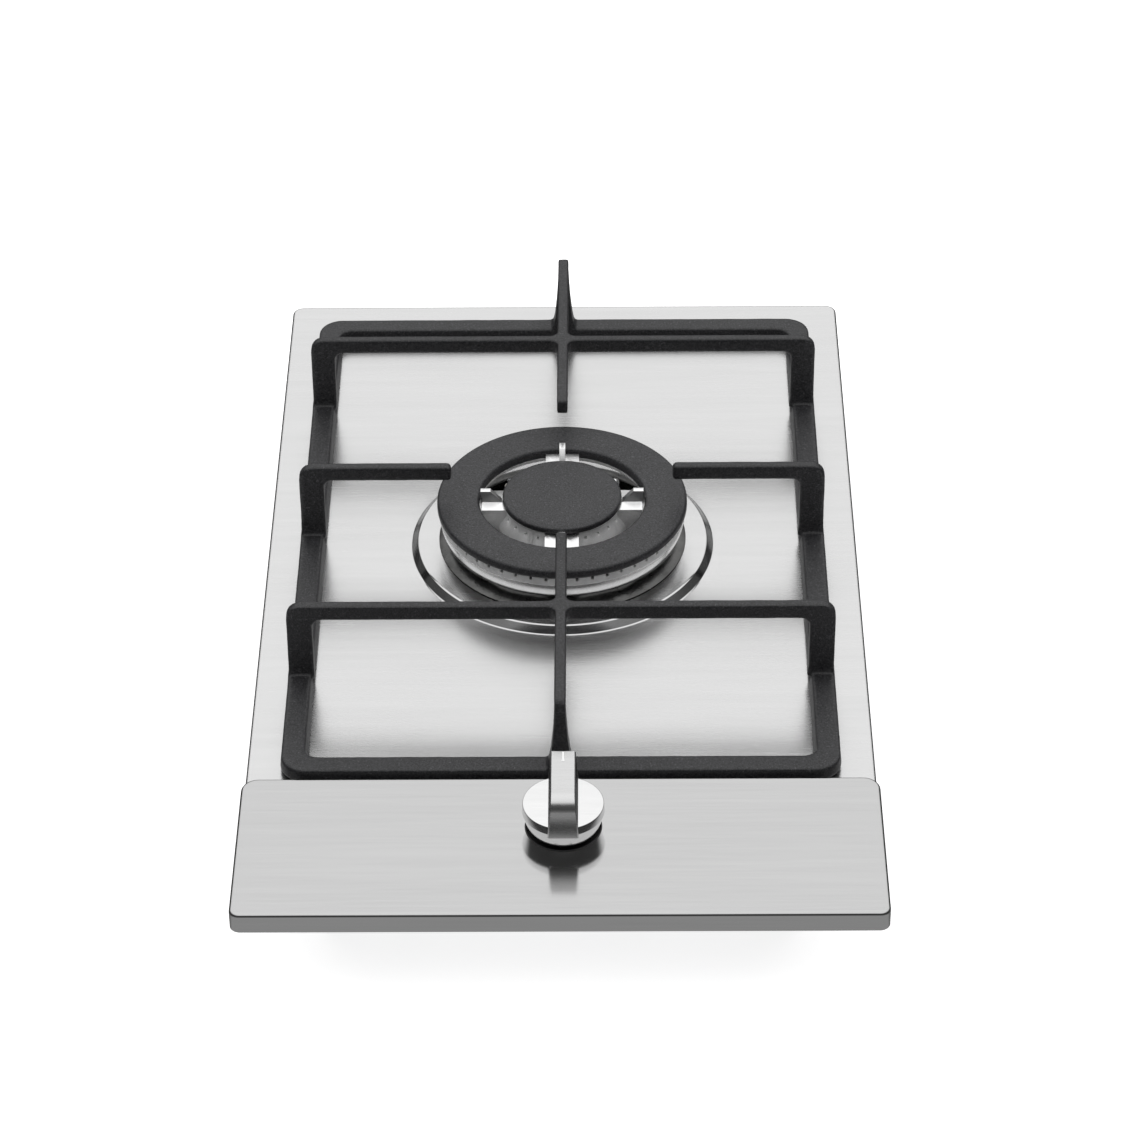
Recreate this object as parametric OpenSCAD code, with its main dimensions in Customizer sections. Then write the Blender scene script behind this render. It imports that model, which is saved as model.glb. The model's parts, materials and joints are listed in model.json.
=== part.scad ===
// Built-in domino gas hob: one triple-ring burner, cast pan support, one knob.
// Origin: centre of the footprint, on the underside of the bottom case. +Y is the rear.

/* [Hob] */
// Overall width, over the control panel
hob_width = 300; // [290:1:320]
// Overall depth, from the front of the panel to the rear of the plate
hob_depth = 510; // [500:1:520]
// Depth of the bottom case below the worktop
case_depth = 45; // [45:1:60]

/* [Plate and panel] */
// How much narrower the plate is than the panel
plate_setback = 2; // [2:0.5:4]
// Height of the plate's top face above the worktop
plate_rise = 4; // [3.5:0.5:5]
// Thickness of the plate and panel sheet
sheet = 0.8; // [0.8:0.1:1]
// Plan radius of the plate's corners
plate_corner_r = 6; // [4:0.5:8]
// Width of the rolled bend along the plate's and panel's edges
edge_roll = 1.6; // [1.2:0.1:2]
// Depth of the control panel, front to rear
panel_depth = 97; // [90:0.5:100]
// Height of the panel's top face above the plate
panel_rise = 6.5; // [5:0.5:7]
// Plan radius of the panel's rear corners
panel_corner_r = 8; // [6:1:10]

/* [Pan support] */
// Width of the cast frame
support_width = 266; // [255:1:266]
// Depth of the cast frame
support_depth = 386; // [380:1:388]
// Width of the frame's bars at their foot
frame_bar_w = 13; // [11:0.5:14]
// Height of the frame's bars above the plate
frame_top = 8.5; // [7:0.5:10]
// Height of the fingers' top above the plate
finger_top = 49; // [47:0.5:52]
// Depth of a finger's section
finger_depth = 8; // [7:0.5:9]
// Width of a finger's top
finger_w = 5.4; // [4:0.2:6]
// Distance from the burner's axis to each finger's tip
finger_reach = 55.5; // [52:0.5:58]
// Distance from the burner's axis to each cross bar
cross_bar_offset = 114.5; // [110:0.5:118]

/* [Burner] */
// Distance of the burner's axis behind the hob's centre
burner_y = 35.5; // [34:0.5:37]
// Diameter of the plate's raised boss at its foot
boss_dia = 153; // [148:1:158]
// Height of the boss
boss_h = 4; // [3:0.5:5]
// Diameter of the outer cap
outer_cap_dia = 126; // [122:1:130]
// Diameter of the hole through the outer cap
outer_cap_hole = 83.4; // [82:0.2:86]
// Diameter of the inner cap
inner_cap_dia = 60; // [58:0.5:60.5]
// Number of ports in the outer ring
outer_ports = 50; // [40:1:60]
// Number of ports in each quarter of the inner ring
inner_ports = 4; // [3:1:5]

/* [Knob and tap] */
// Distance of the knob's axis to the right of the hob's centre line
knob_x = 1.5; // [0:0.5:3]
// Distance of the knob's axis in front of the hob's centre
knob_front = 193.5; // [186:0.5:194]
// Diameter of the knob's disc where it is widest
knob_dia = 38.4; // [36:0.2:40]
// Height of the knob's handle above the panel
knob_h = 29.5; // [26:0.5:30]
// Width of the knob's handle at its top
grip_w = 11.6; // [10:0.2:13]
// How far the knob pushes in before it turns
knob_push = 2.5; // [2:0.5:2.5]
// Diameter of the tap's spindle
spindle_dia = 8; // [7:0.5:8]

/* [Gas pipes] */
// Outer diameter of the gas rail
rail_dia = 12; // [10:1:12]
// Outer diameter of the burner pipe
burner_pipe_dia = 8; // [6:1:8]
// Outer diameter of the inlet's half-inch gas thread
inlet_dia = 20.95; // [20.9:0.05:21]

/* [Case and clamps] */
// Width of the bottom case
case_width = 232; // [228:1:234]
// Depth of the bottom case, front to rear, at its top
case_length = 454; // [450:1:458]
// Thickness of the case's sheet
case_sheet = 0.7; // [0.6:0.1:0.8]
// Length of a clamp arm, from its screw to its tip
clamp_arm_len = 27; // [24:1:30]

/* [Hidden] */

$fn = 64;
cut = 0.1;          // how far a cutting solid runs past the face it cuts
run_gap = 0.05;     // radial clearance of a shaft that turns or slides in its bore
seat_gap = 0.05;    // gap between a piece that lifts off and its seat

worktop_z = case_depth;
plate_z = worktop_z + plate_rise;
panel_z = plate_z + panel_rise;
boss_z = plate_z + boss_h;
rear_y = hob_depth / 2;
front_y = -hob_depth / 2;
plate_width = hob_width - plate_setback;
plate_front_y = front_y + 1.5;
plate_depth = rear_y - plate_front_y;
plate_mid_y = (rear_y + plate_front_y) / 2;
plate_under_z = plate_z - sheet;
panel_front_r = 5;
cup_r = 56;
cup_hole_r = cup_r + 1;

case_floor_z = case_sheet;
case_top_z = plate_under_z;
case_mid_y = 5;
case_front_y = case_mid_y - case_length / 2;
case_rear_y = case_mid_y + case_length / 2;
case_flange = 8;
case_slope_run = 26;    // the front wall leans back by this much at its foot
case_slope_z = 22;      // height at which the front wall starts to lean

support_mid_y = 37;
frame_z = plate_z + 1.2;
frame_top_z = plate_z + frame_top;
finger_z = plate_z + finger_top;
finger_under_z = finger_z - finger_depth;

knob_y = -knob_front;
spindle_r = spindle_dia / 2;
rail_r = rail_dia / 2;
rail_z = 12;
rail_x = 86;
rail_y = knob_y + 11;
rail_bend = 14;
plug_r = 8;
plug_z = rail_z + rail_r + 3;
plug_h = 11;
inlet_neck_r = inlet_dia / 2 - 0.2;
pipe_r = burner_pipe_dia / 2;
pipe_z = plug_z + 4;
collar_z = plug_z + 18.5;
cover_z = plug_z + 20.5;
cover_h = 2;
disc_z = plate_under_z - 1.3;
skirt_r = knob_dia / 2 - 2.5;  // radius of the knob's skirt at its foot
skirt_z = 1.2;                  // gap between the skirt's foot and the panel's top face
waist_z = 10.2;                 // height at which the knob is widest
disc_h = 14.3;                  // height of the disc's top face
disc_under = disc_h - 1.5;
knob_hole_r = skirt_r + 0.7;    // the panel's hole, which the skirt dips into
dish_z = skirt_z - knob_push - 1.1;
plunger_x = knob_x + 15.5;

cup_floor_z = plate_z - 15;
holder_z = cup_floor_z - 17;
injector_z = cup_floor_z - 2.5;
pipe_x = -52;
pipe_bend = 16;
electrode_a = 135;      // the electrode's place around the burner, from +X
thermocouple_a = 45;
pin_ring_r = 38;        // radius at which the electrode and the thermocouple stand

clamp_x = case_width / 2 + 8;
clamp_front_y = -120;
clamp_rear_y = 150;
clamp_screw_r = 2;
clamp_arm_z = 3;
clamp_lug_z = worktop_z - 7;

stud_ys = [-165, -40, 85, 205];
stud_x = case_width / 2 + 4.5;

// ---------- shared shapes ----------

module at_burner(z = 0) {
    translate([0, burner_y, z]) children();
}

module at_knob(z = 0) {
    translate([knob_x, knob_y, z]) children();
}

module around(count, start = 0) {
    for (i = [0:count - 1]) rotate([0, 0, start + i * 360 / count]) children();
}

module both_sides(x) {
    for (side = [-1, 1]) translate([side * x, 0, 0]) children();
}

module rounded_rect(w, d, r) {
    square([w - 2 * r, d], center = true);
    square([w, d - 2 * r], center = true);
    for (x = [-1, 1], y = [-1, 1])
        translate([x * (w / 2 - r), y * (d / 2 - r)]) circle(r);
}

module rounded_slab(w, d, h, r) {
    linear_extrude(h) rounded_rect(w, d, r);
}

module ring(outer_r, inner_r, h) {
    difference() {
        cylinder(r = outer_r, h = h);
        translate([0, 0, -cut]) cylinder(r = inner_r, h = h + 2 * cut);
    }
}

// A slab whose top edge is bent over by edge_roll
module rolled_slab(w, d, h, r) {
    hull() {
        rounded_slab(w, d, h - edge_roll, r, $fn = 32);
        rounded_slab(w - 0.6 * edge_roll, d - 0.6 * edge_roll, h - 0.3 * edge_roll, r, $fn = 32);
        rounded_slab(w - 2 * edge_roll, d - 2 * edge_roll, h, r, $fn = 32);
    }
}

function unit(v) = v / norm(v);

// Points of a route with each inner corner rounded off over the length bend
function rounded_route(points, bend) = [
    points[0],
    for (i = [1:len(points) - 2])
        let (b = points[i])
        let (from = b + bend * unit(points[i - 1] - b), to = b + bend * unit(points[i + 1] - b))
        for (t = [0:0.25:1]) pow(1 - t, 2) * from + 2 * t * (1 - t) * b + t * t * to,
    points[len(points) - 1]
];

// Direction of a route at its point i, halfway between its two stretches
function route_dir(p, i) =
    i == 0 ? unit(p[1] - p[0]) :
    i == len(p) - 1 ? unit(p[i] - p[i - 1]) :
    unit(unit(p[i] - p[i - 1]) + unit(p[i + 1] - p[i]));

// One side vector for each point of a route, carried along it without twist
function route_sides(p, side, i = 0) =
    i == len(p) ? [] :
    let (d = route_dir(p, i), next = unit(side - (side * d) * d))
    concat([next], route_sides(p, next, i + 1));

function tube_side_faces(rings, n) = [
    for (i = [0:rings - 2], k = [0:n - 1])
        [i * n + k, i * n + (k + 1) % n, (i + 1) * n + (k + 1) % n, (i + 1) * n + k]
];

function tube_cap_faces(rings, n) = [
    [for (k = [0:n - 1]) n - 1 - k],
    [for (k = [0:n - 1]) (rings - 1) * n + k]
];

// A tube swept along a route; side is any vector across the route's start
module swept_tube(route, r, side) {
    n = 8;
    sides = route_sides(route, side);
    points = [
        for (i = [0:len(route) - 1], k = [0:n - 1])
            let (across = cross(route_dir(route, i), sides[i]), a = 360 * k / n)
            route[i] + r * (cos(a) * sides[i] + sin(a) * across)
    ];
    faces = concat(tube_side_faces(len(route), n), tube_cap_faces(len(route), n));
    polyhedron(points = points, faces = faces, convexity = 10);
}

// Arc of a bent pipe in the XY plane, centred on the origin
module pipe_bend(bend_r, r, start) {
    rotate([0, 0, start]) rotate_extrude(angle = 90) translate([bend_r, 0]) circle(r);
}

module hex_nut(across, h, hole_r) {
    difference() {
        cylinder(d = across / cos(30), h = h, $fn = 6);
        translate([0, 0, -cut]) cylinder(r = hole_r, h = h + 2 * cut);
    }
}

module pan_head_screw(shank_r, length, head_r, head_h) {
    cylinder(r = shank_r, h = length);
    translate([0, 0, length]) difference() {
        cylinder(r = head_r, h = head_h);
        translate([0, 0, head_h / 2]) around(2) cube([head_r, 0.8, head_h + cut], center = true);
    }
}

// ---------- plate, panel and case ----------

module top_plate() color("gainsboro") difference() {
    union() {
        translate([0, plate_mid_y, worktop_z])
            rolled_slab(plate_width, plate_depth, plate_rise, plate_corner_r);
        at_burner(plate_z - cut)
            cylinder(r1 = boss_dia / 2, r2 = boss_dia / 2 - 2.8, h = boss_h + cut);
    }
    translate([0, plate_mid_y, worktop_z - cut])
        rounded_slab(plate_width - 2 * sheet, plate_depth - 2 * sheet,
            plate_rise - sheet + cut, plate_corner_r - sheet);
    at_burner(plate_under_z - cut)
        cylinder(r1 = boss_dia / 2 - 1.5, r2 = boss_dia / 2 - 4.2, h = boss_h + cut);
    at_burner(plate_under_z) cylinder(r = cup_hole_r, h = boss_h + 2 * sheet);
    at_knob(plate_under_z - cut) cylinder(r = 7, h = sheet + 2 * cut);
}

module panel_outline(inset = 0) {
    w = hob_width - 2 * inset;
    d = panel_depth - 2 * inset;
    translate([0, front_y + panel_depth / 2]) {
        rounded_rect(w, d, panel_corner_r - inset);
        translate([0, -d / 4]) rounded_rect(w, d / 2, panel_front_r - inset);
    }
}

module front_panel() color("silver") difference() {
    hull() {
        translate([0, 0, worktop_z + 0.2]) linear_extrude(1) panel_outline(0.4, $fn = 32);
        translate([0, 0, worktop_z + 1]) linear_extrude(panel_z - worktop_z - 1 - edge_roll)
            panel_outline($fn = 32);
        translate([0, 0, panel_z - 1]) linear_extrude(0.5) panel_outline(0.5, $fn = 32);
        translate([0, 0, panel_z - 1]) linear_extrude(1) panel_outline(1.6, $fn = 32);
    }
    translate([0, 0, worktop_z - cut]) linear_extrude(panel_z - sheet - worktop_z + cut)
        panel_outline(sheet);
    translate([0, front_y + sheet + panel_depth / 2, worktop_z - cut])
        linear_extrude(plate_rise + cut) square([plate_width + 0.4, panel_depth], center = true);
    at_knob(panel_z - sheet - cut) cylinder(r = knob_hole_r, h = sheet + 2 * cut);
}

module worktop_seal() color("dimgray") translate([0, plate_mid_y, worktop_z]) difference() {
    rounded_slab(plate_width - 2 * sheet - 0.4, plate_depth - 2 * sheet - 0.4,
        plate_rise - sheet, plate_corner_r - sheet);
    translate([0, 0, -cut])
        rounded_slab(plate_width - 20, plate_depth - 20, plate_rise, plate_corner_r);
}

// Side profile of the case, drawn with +X to the front and +Y up
module case_profile(inset) {
    polygon([
        [-case_rear_y + inset, inset],
        [-case_front_y - case_slope_run - inset / 2, inset],
        [-case_front_y - inset, case_slope_z],
        [-case_front_y - inset, case_top_z],
        [-case_rear_y + inset, case_top_z]
    ]);
}

module case_prism(width, inset) {
    rotate([90, 0, -90]) linear_extrude(width, center = true) case_profile(inset);
}

module bottom_case() color("lightgray") difference() {
    union() {
        case_prism(case_width, 0);
        translate([0, case_mid_y, case_top_z - case_sheet])
            rounded_slab(case_width + 2 * case_flange, case_length + case_flange,
                case_sheet, 4);
    }
    case_prism(case_width - 2 * case_sheet, case_sheet);
    translate([0, case_mid_y, case_top_z - case_sheet - cut])
        linear_extrude(case_sheet + 2 * cut)
            square([case_width - 2 * case_sheet, case_length - 2 * case_sheet], center = true);
    for (y = stud_ys) both_sides(stud_x)
        translate([0, y, case_top_z - case_sheet - cut]) cylinder(r = 2.2, h = case_sheet + 2 * cut);
    for (row = [0:1], i = [-3:3])
        translate([i * 12, 130 + row * 30, case_sheet / 2])
            cube([4, 20, case_sheet + 2 * cut], center = true);
    translate([rail_x, case_rear_y, rail_z]) rotate([90, 0, 0])
        cylinder(r = inlet_dia / 2 + 0.15, h = 4 * case_sheet, center = true);
    translate([-70, case_rear_y, 20]) rotate([90, 0, 0])
        cylinder(r = 6.2, h = 4 * case_sheet, center = true);
    for (y = [clamp_front_y, clamp_rear_y], dy = [-9, 9]) translate([0, y + dy, worktop_z - 13])
        rotate([0, 90, 0]) cylinder(r = 1.5, h = case_width + 2 * cut, center = true);
}

module plate_studs() color("gray") for (y = stud_ys) both_sides(stud_x)
    translate([0, y, case_top_z - 7]) cylinder(r = 2, h = 7);

module case_nuts() color("darkgray") for (y = stud_ys) both_sides(stud_x)
    translate([0, y, case_top_z - case_sheet - 3.2]) {
        hex_nut(7, 2.4, 2);
        translate([0, 0, 2.4]) ring(4.5, 2, 0.8);
    }

module case_screws() color("darkgray") {
    for (y = [clamp_front_y, clamp_rear_y], side = [-1, 1], dy = [-9, 9])
        translate([side * (case_width / 2 + 1.2), y + dy, worktop_z - 13])
            rotate([0, side * 90, 0]) translate([0, 0, -6]) pan_head_screw(1.5, 6, 2.8, 1.6);
}

// ---------- pan support ----------

// Outline of one leg and its finger, from the burner's side (from_x) out to the leg (to_x)
module finger_outline(from_x, to_x, leg_w, corner_r) {
    difference() {
        union() {
            translate([from_x, frame_top_z - cut])
                square([to_x - from_x, finger_z - frame_top_z - corner_r + cut]);
            translate([from_x, frame_top_z])
                square([to_x - corner_r - from_x, finger_z - frame_top_z]);
            translate([to_x - corner_r, finger_z - corner_r]) circle(corner_r);
        }
        translate([from_x - cut, frame_top_z - 2 * cut])
            square([to_x - leg_w - from_x + cut, finger_under_z - frame_top_z + 2 * cut]);
    }
}

module finger(from_x, to_x, leg_w, thick, corner_r = 6) {
    rotate([90, 0, 0]) linear_extrude(thick, center = true)
        finger_outline(from_x, to_x, leg_w, corner_r);
}

module support_foot_places() {
    for (y = [-1, 0, 1]) both_sides(support_width / 2 - frame_bar_w / 2 - 1)
        translate([0, support_mid_y + y * (support_depth / 2 - 14), 0]) children();
}

module pan_support() color([0.13, 0.13, 0.14]) difference() {
    union() {
        translate([0, support_mid_y, frame_z]) difference() {
            rounded_slab(support_width, support_depth, frame_top_z - frame_z, 13);
            translate([0, 0, -cut])
                rounded_slab(support_width - 2 * frame_bar_w, support_depth - 2 * frame_bar_w,
                    frame_top, 5);
        }
        for (side = [0, 180]) {
            at_burner() rotate([0, 0, side])
                finger(finger_reach, support_width / 2 - 1, 12.5, 5);
            for (y = [-1, 1]) translate([0, burner_y + y * cross_bar_offset, 0])
                rotate([0, 0, side]) finger(0, support_width / 2 - 1, 12.5, 5);
        }
        at_burner() rotate([0, 0, 90])
            finger(finger_reach, support_mid_y + support_depth / 2 - burner_y - 1.5, 10, finger_w);
        at_burner() rotate([0, 0, -90])
            finger(finger_reach, burner_y - support_mid_y + support_depth / 2 - 1, 10, finger_w, 4);
    }
    support_foot_places() translate([0, 0, frame_z - cut]) cylinder(r = 2.5, h = 4 + cut);
}

module support_feet() color("black") support_foot_places() {
    translate([0, 0, plate_z + seat_gap]) cylinder(r = 4.5, h = frame_z - plate_z - seat_gap);
    translate([0, 0, frame_z]) cylinder(r = 2.5, h = 4);
}

// ---------- burner ----------

module cup_ear_places() {
    both_sides(48) children();
}

module burner_cup() color("darkgray") at_burner() difference() {
    union() {
        translate([0, 0, cup_floor_z]) cylinder(r = cup_r, h = boss_z + 0.5 - cup_floor_z);
        translate([0, 0, boss_z + 0.5]) cylinder(r1 = 62.5, r2 = 58, h = 2.5);
    }
    translate([0, 0, cup_floor_z + 3]) difference() {
        ring(cup_r - 2.5, 30, boss_h + 22);
        cup_ear_places() cylinder(r = 6, h = 11);
    }
    translate([0, 0, cup_floor_z + 3]) cylinder(r = 24, h = boss_h + 22);
    translate([0, 0, cup_floor_z - cut]) cylinder(r = 7.55, h = 4);
    cup_ear_places() translate([0, 0, cup_floor_z - cut]) cylinder(r = 2, h = 20);
    around(6) translate([27, 0, cup_floor_z + 8]) rotate([0, 90, 0])
        cylinder(r = 4, h = 8, center = true);
    rotate([0, 0, electrode_a]) translate([pin_ring_r, 0, cup_floor_z - cut])
        cylinder(r = 3.55, h = 4);
    rotate([0, 0, thermocouple_a]) translate([pin_ring_r, 0, cup_floor_z - cut])
        cylinder(r = 3.05, h = 4);
}

module burner_gasket() color("dimgray") at_burner(boss_z) ring(60, cup_r + 0.2, 0.5);

module burner_bridge() color("silver") at_burner() difference() {
    union() {
        translate([-80, -13, cup_floor_z - 1.2]) cube([160, 26, 1.2]);
        both_sides(80) translate([-0.6, -13, cup_floor_z - 1.2])
            cube([1.2, 26, plate_under_z - cup_floor_z + 1.2]);
        both_sides(84) translate([-4, -13, plate_under_z - 1.2]) cube([8, 26, 1.2]);
    }
    translate([0, 0, cup_floor_z - 2]) cylinder(r = 9.2, h = 3);
    cup_ear_places() translate([0, 0, cup_floor_z - 2]) cylinder(r = 2, h = 3);
}

module burner_screws() color("gray") at_burner() cup_ear_places()
    translate([0, 0, cup_floor_z - 4]) pan_head_screw(2, 18, 4, 2.4);

module crown_ring_blank() rotate_extrude() polygon([
    [43, 24], [43, 21.5], [60.4, 12.2], [62, 19.6], [61.5, 19.6], [61.5, 24]
]);

module crown_channel() rotate_extrude() polygon([
    [46.5, 24 + cut], [46.5, 21.5], [59.2, 15.5], [59.2, 24 + cut]
]);

module crown_hub_blank() rotate_extrude() polygon([
    [0, 27], [29, 27], [29, 24], [33, 17], [33, 13], [28, 7 + seat_gap],
    [23.8, 7 + seat_gap], [23.8, -1], [0, -1]
]);

module crown_arms() around(4) {
    translate([20, -8.5, 13]) cube([38, 17, 10.9]);
    translate([20, -8.5, 13]) cube([20.4, 17, 14]);
    translate([0, 1.5, 0]) rotate([90, 0, 0]) linear_extrude(3)
        polygon([[30.4, 26], [30.4, 27.4], [36, 33.5], [41, 33.5], [41, 26]]);
}

module burner_crown() color("whitesmoke") at_burner(plate_z) difference() {
    union() {
        crown_ring_blank();
        crown_hub_blank();
        crown_arms();
    }
    crown_channel();
    translate([0, 0, 15]) cylinder(r = 26, h = 12 + cut);
    translate([0, 0, -1 - cut]) cylinder(r = 19, h = 17);
    around(4) translate([18, -6, 15]) cube([38.5, 12, 6.8]);
    around(outer_ports, 180 / outer_ports) translate([58, -0.7, 21.8]) cube([5, 1.4, 2.2 + cut]);
    around(4) for (i = [0:inner_ports - 1]) rotate([0, 0, 24 + i * 42 / (inner_ports - 1)])
        translate([25, -0.7, 22.4]) cube([7, 1.4, 1.5]);
}

module outer_cap() color([0.17, 0.17, 0.18]) at_burner(plate_z + 24 + seat_gap) difference() {
    union() {
        rotate_extrude() polygon([
            [0, 0], [62, 0], [outer_cap_dia / 2, 1], [outer_cap_dia / 2, 3.2],
            [outer_cap_dia / 2 - 1.6, 4.6], [outer_cap_dia / 2 - 3, 5], [0, 5]
        ]);
        translate([0, 0, -1.6]) cylinder(r = 57.8, h = 2);
    }
    translate([0, 0, -2]) cylinder(r = 56, h = 2);
    translate([0, 0, -cut]) cylinder(d = outer_cap_hole, h = 6);
}

module inner_cap() color([0.17, 0.17, 0.18]) at_burner(plate_z + 27 + seat_gap) {
    rotate_extrude() polygon([
        [0, 0], [inner_cap_dia / 2 - 0.8, 0], [inner_cap_dia / 2, 0.8],
        [inner_cap_dia / 2, 2.2], [inner_cap_dia / 2 - 1.2, 3.4],
        for (r = [27:-3:0]) [r, 3.4 + 1.2 * (1 - pow(r / 28, 2))]
    ]);
    translate([0, 0, -1.5]) ring(25.6, 24, 1.6);
}

module injector_holder() color("goldenrod") at_burner() difference() {
    union() {
        translate([0, 0, holder_z]) cylinder(r = 9, h = cup_floor_z - holder_z);
        translate([0, 0, cup_floor_z]) cylinder(r = 7.5, h = 3);
        translate([0, 0, pipe_z]) rotate([0, -90, 0]) cylinder(r = 5.5, h = 17);
    }
    translate([0, 0, pipe_z - 3]) cylinder(r = 2.5, h = cup_floor_z - pipe_z + 7);
    translate([0, 0, injector_z]) cylinder(r = 4, h = 7);
    translate([0, 0, pipe_z]) rotate([0, -90, 0]) cylinder(r = pipe_r - 1, h = 18);
    translate([-12, 0, pipe_z]) rotate([0, -90, 0]) cylinder(r = pipe_r, h = 6);
}

module injector() color("gold") at_burner(injector_z) difference() {
    union() {
        cylinder(r = 4, h = 6);
        translate([0, 0, 6]) cylinder(d = 8 / cos(30), h = 4, $fn = 6);
        translate([0, 0, 10]) cylinder(r1 = 3.5, r2 = 2, h = 2);
    }
    translate([0, 0, -cut]) cylinder(r = 2.2, h = 9);
    translate([0, 0, 8]) cylinder(r = 0.85, h = 5);
}

// Burner pipe: leaves the tap to the left, runs to the rear, and turns in to the holder
module burner_pipe_solid(r) {
    start_x = knob_x - 15;
    translate([start_x, knob_y, pipe_z]) rotate([0, -90, 0])
        cylinder(r = r, h = start_x - pipe_x - pipe_bend);
    translate([pipe_x + pipe_bend, knob_y + pipe_bend, pipe_z]) pipe_bend(pipe_bend, r, 180);
    translate([pipe_x, knob_y + pipe_bend, pipe_z]) rotate([-90, 0, 0])
        cylinder(r = r, h = burner_y - knob_y - 2 * pipe_bend);
    translate([pipe_x + pipe_bend, burner_y - pipe_bend, pipe_z]) pipe_bend(pipe_bend, r, 90);
    translate([pipe_x + pipe_bend, burner_y, pipe_z]) rotate([0, 90, 0])
        cylinder(r = r, h = -12 - pipe_x - pipe_bend);
}

module burner_pipe() color("lightsteelblue") difference() {
    burner_pipe_solid(pipe_r);
    burner_pipe_solid(pipe_r - 1);
}

module pipe_nuts() color("goldenrod") {
    translate([knob_x - 21, knob_y, pipe_z]) rotate([0, -90, 0]) hex_nut(13, 8, pipe_r);
    translate([-17, burner_y, pipe_z]) rotate([0, -90, 0]) hex_nut(13, 8, pipe_r);
}

module spark_electrode() color("white") at_burner() rotate([0, 0, electrode_a])
    translate([pin_ring_r, 0, 0]) difference() {
        union() {
            translate([0, 0, cup_floor_z - 6]) cylinder(r = 3.5, h = 9);
            translate([0, 0, cup_floor_z + 3]) cylinder(r = 4.2, h = 4);
            translate([0, 0, cup_floor_z + 7]) cylinder(r = 2.6, h = 25);
        }
        translate([0, 0, cup_floor_z - 7]) cylinder(r = 1, h = 45);
    }

module electrode_tip() color("gray") at_burner() rotate([0, 0, electrode_a])
    translate([pin_ring_r, 0, 0]) {
        translate([0, 0, cup_floor_z - 9]) cylinder(r = 1, h = 45);
        translate([1, 0, cup_floor_z + 35]) rotate([0, -90, 0]) cylinder(r = 0.9, h = 5);
    }

module thermocouple() color("peru") at_burner() rotate([0, 0, thermocouple_a])
    translate([pin_ring_r, 0, 0]) {
        translate([0, 0, cup_floor_z - 8]) cylinder(r = 3, h = 11);
        translate([0, 0, cup_floor_z + 3]) cylinder(d = 8 / cos(30), h = 3, $fn = 6);
        translate([0, 0, cup_floor_z + 6]) cylinder(r = 2, h = 28);
        translate([0, 0, cup_floor_z + 34]) sphere(2);
    }

// Lead of the thermocouple, from its foot to the back of the magnet unit
module thermocouple_lead() color("peru") {
    foot = pin_ring_r * [cos(thermocouple_a), sin(thermocouple_a), 0] + [0, burner_y, 0];
    route = [
        foot + [0, 0, cup_floor_z - 8], foot + [0, 0, cup_floor_z - 17], [62, 40, 14],
        [62, -100, 14], [knob_x, -128, pipe_z], [knob_x, knob_y + 38, pipe_z]
    ];
    swept_tube(rounded_route(route, 8), 1, [1, 0, 0]);
}

// ---------- tap, spindle and knob ----------

module tap_block(low_z, high_z) {
    translate([knob_x - 8, rail_y - 11.5, low_z]) cube([16, 23, high_z - low_z]);
}

module rail_bore(r) {
    translate([knob_x, rail_y, rail_z]) rotate([0, 90, 0]) cylinder(r = r, h = 60, center = true);
}

module saddle_screw_places() {
    for (side = [-1, 1]) translate([knob_x, rail_y + side * 8.5, 0]) children();
}

module tap_body() color("tan") difference() {
    union() {
        at_knob(rail_z + 5) cylinder(r = 12.5, h = cover_z - rail_z - 5);
        tap_block(rail_z + 0.5, plug_z);
        at_knob(pipe_z) rotate([0, -90, 0]) cylinder(r = 6, h = 21);
        at_knob(pipe_z) rotate([-90, 0, 0]) cylinder(r = 8.5, h = 20);
    }
    at_knob(plug_z - run_gap) cylinder(r = plug_r + run_gap, h = cover_z);
    translate([knob_x, rail_y, rail_z]) cylinder(r = 2, h = plug_z - 0.8 - rail_z);
    translate([knob_x, rail_y, plug_z - 0.8]) rotate([90, 0, 0]) cylinder(r = 1.6, h = rail_y - knob_y);
    rail_bore(rail_r);
    saddle_screw_places() translate([0, 0, rail_z]) cylinder(r = 1.5, h = 5.5);
    at_knob(pipe_z) rotate([0, -90, 0]) cylinder(r = pipe_r - 1, h = 22);
    at_knob(pipe_z) translate([-15, 0, 0]) rotate([0, -90, 0]) cylinder(r = pipe_r, h = 7);
    at_knob(pipe_z) rotate([-90, 0, 0]) cylinder(r = 2, h = 14);
    at_knob(pipe_z) translate([0, 13, 0]) rotate([-90, 0, 0]) cylinder(r = 7, h = 10);
    at_knob(cover_z - 7) around(2, 90) translate([10.2, 0, 0]) cylinder(r = 1.25, h = 8);
}

module magnet_unit() color("silver") at_knob(pipe_z) {
    translate([0, 13, 0]) rotate([-90, 0, 0]) cylinder(r = 7, h = 10);
    translate([0, 23, 0]) rotate([-90, 0, 0]) cylinder(d = 17 / cos(30), h = 4, $fn = 6);
    translate([0, 27, 0]) rotate([-90, 0, 0]) cylinder(r = 5, h = 7);
    translate([0, 34, 0]) rotate([-90, 0, 0]) cylinder(d = 9 / cos(30), h = 4, $fn = 6);
}

module tap_cover() color("tan") at_knob(cover_z) difference() {
    cylinder(r = 12.5, h = cover_h);
    translate([0, 0, -cut]) cylinder(r = spindle_r + run_gap, h = cover_h + 2 * cut);
    around(2, 90) translate([10.2, 0, -cut]) cylinder(r = 1.25, h = cover_h + 2 * cut);
    around(2, 90) translate([10.2, 0, 1]) cylinder(r = 1.95, h = cover_h);
}

module tap_screws() color("gray") {
    at_knob(cover_z - 6) around(2, 90) translate([10.2, 0, 0]) pan_head_screw(1.25, 7, 1.9, 0.9);
    saddle_screw_places() translate([0, 0, rail_z + 5]) mirror([0, 0, 1])
        pan_head_screw(1.5, 13, 2.8, 1.6);
}

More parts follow.
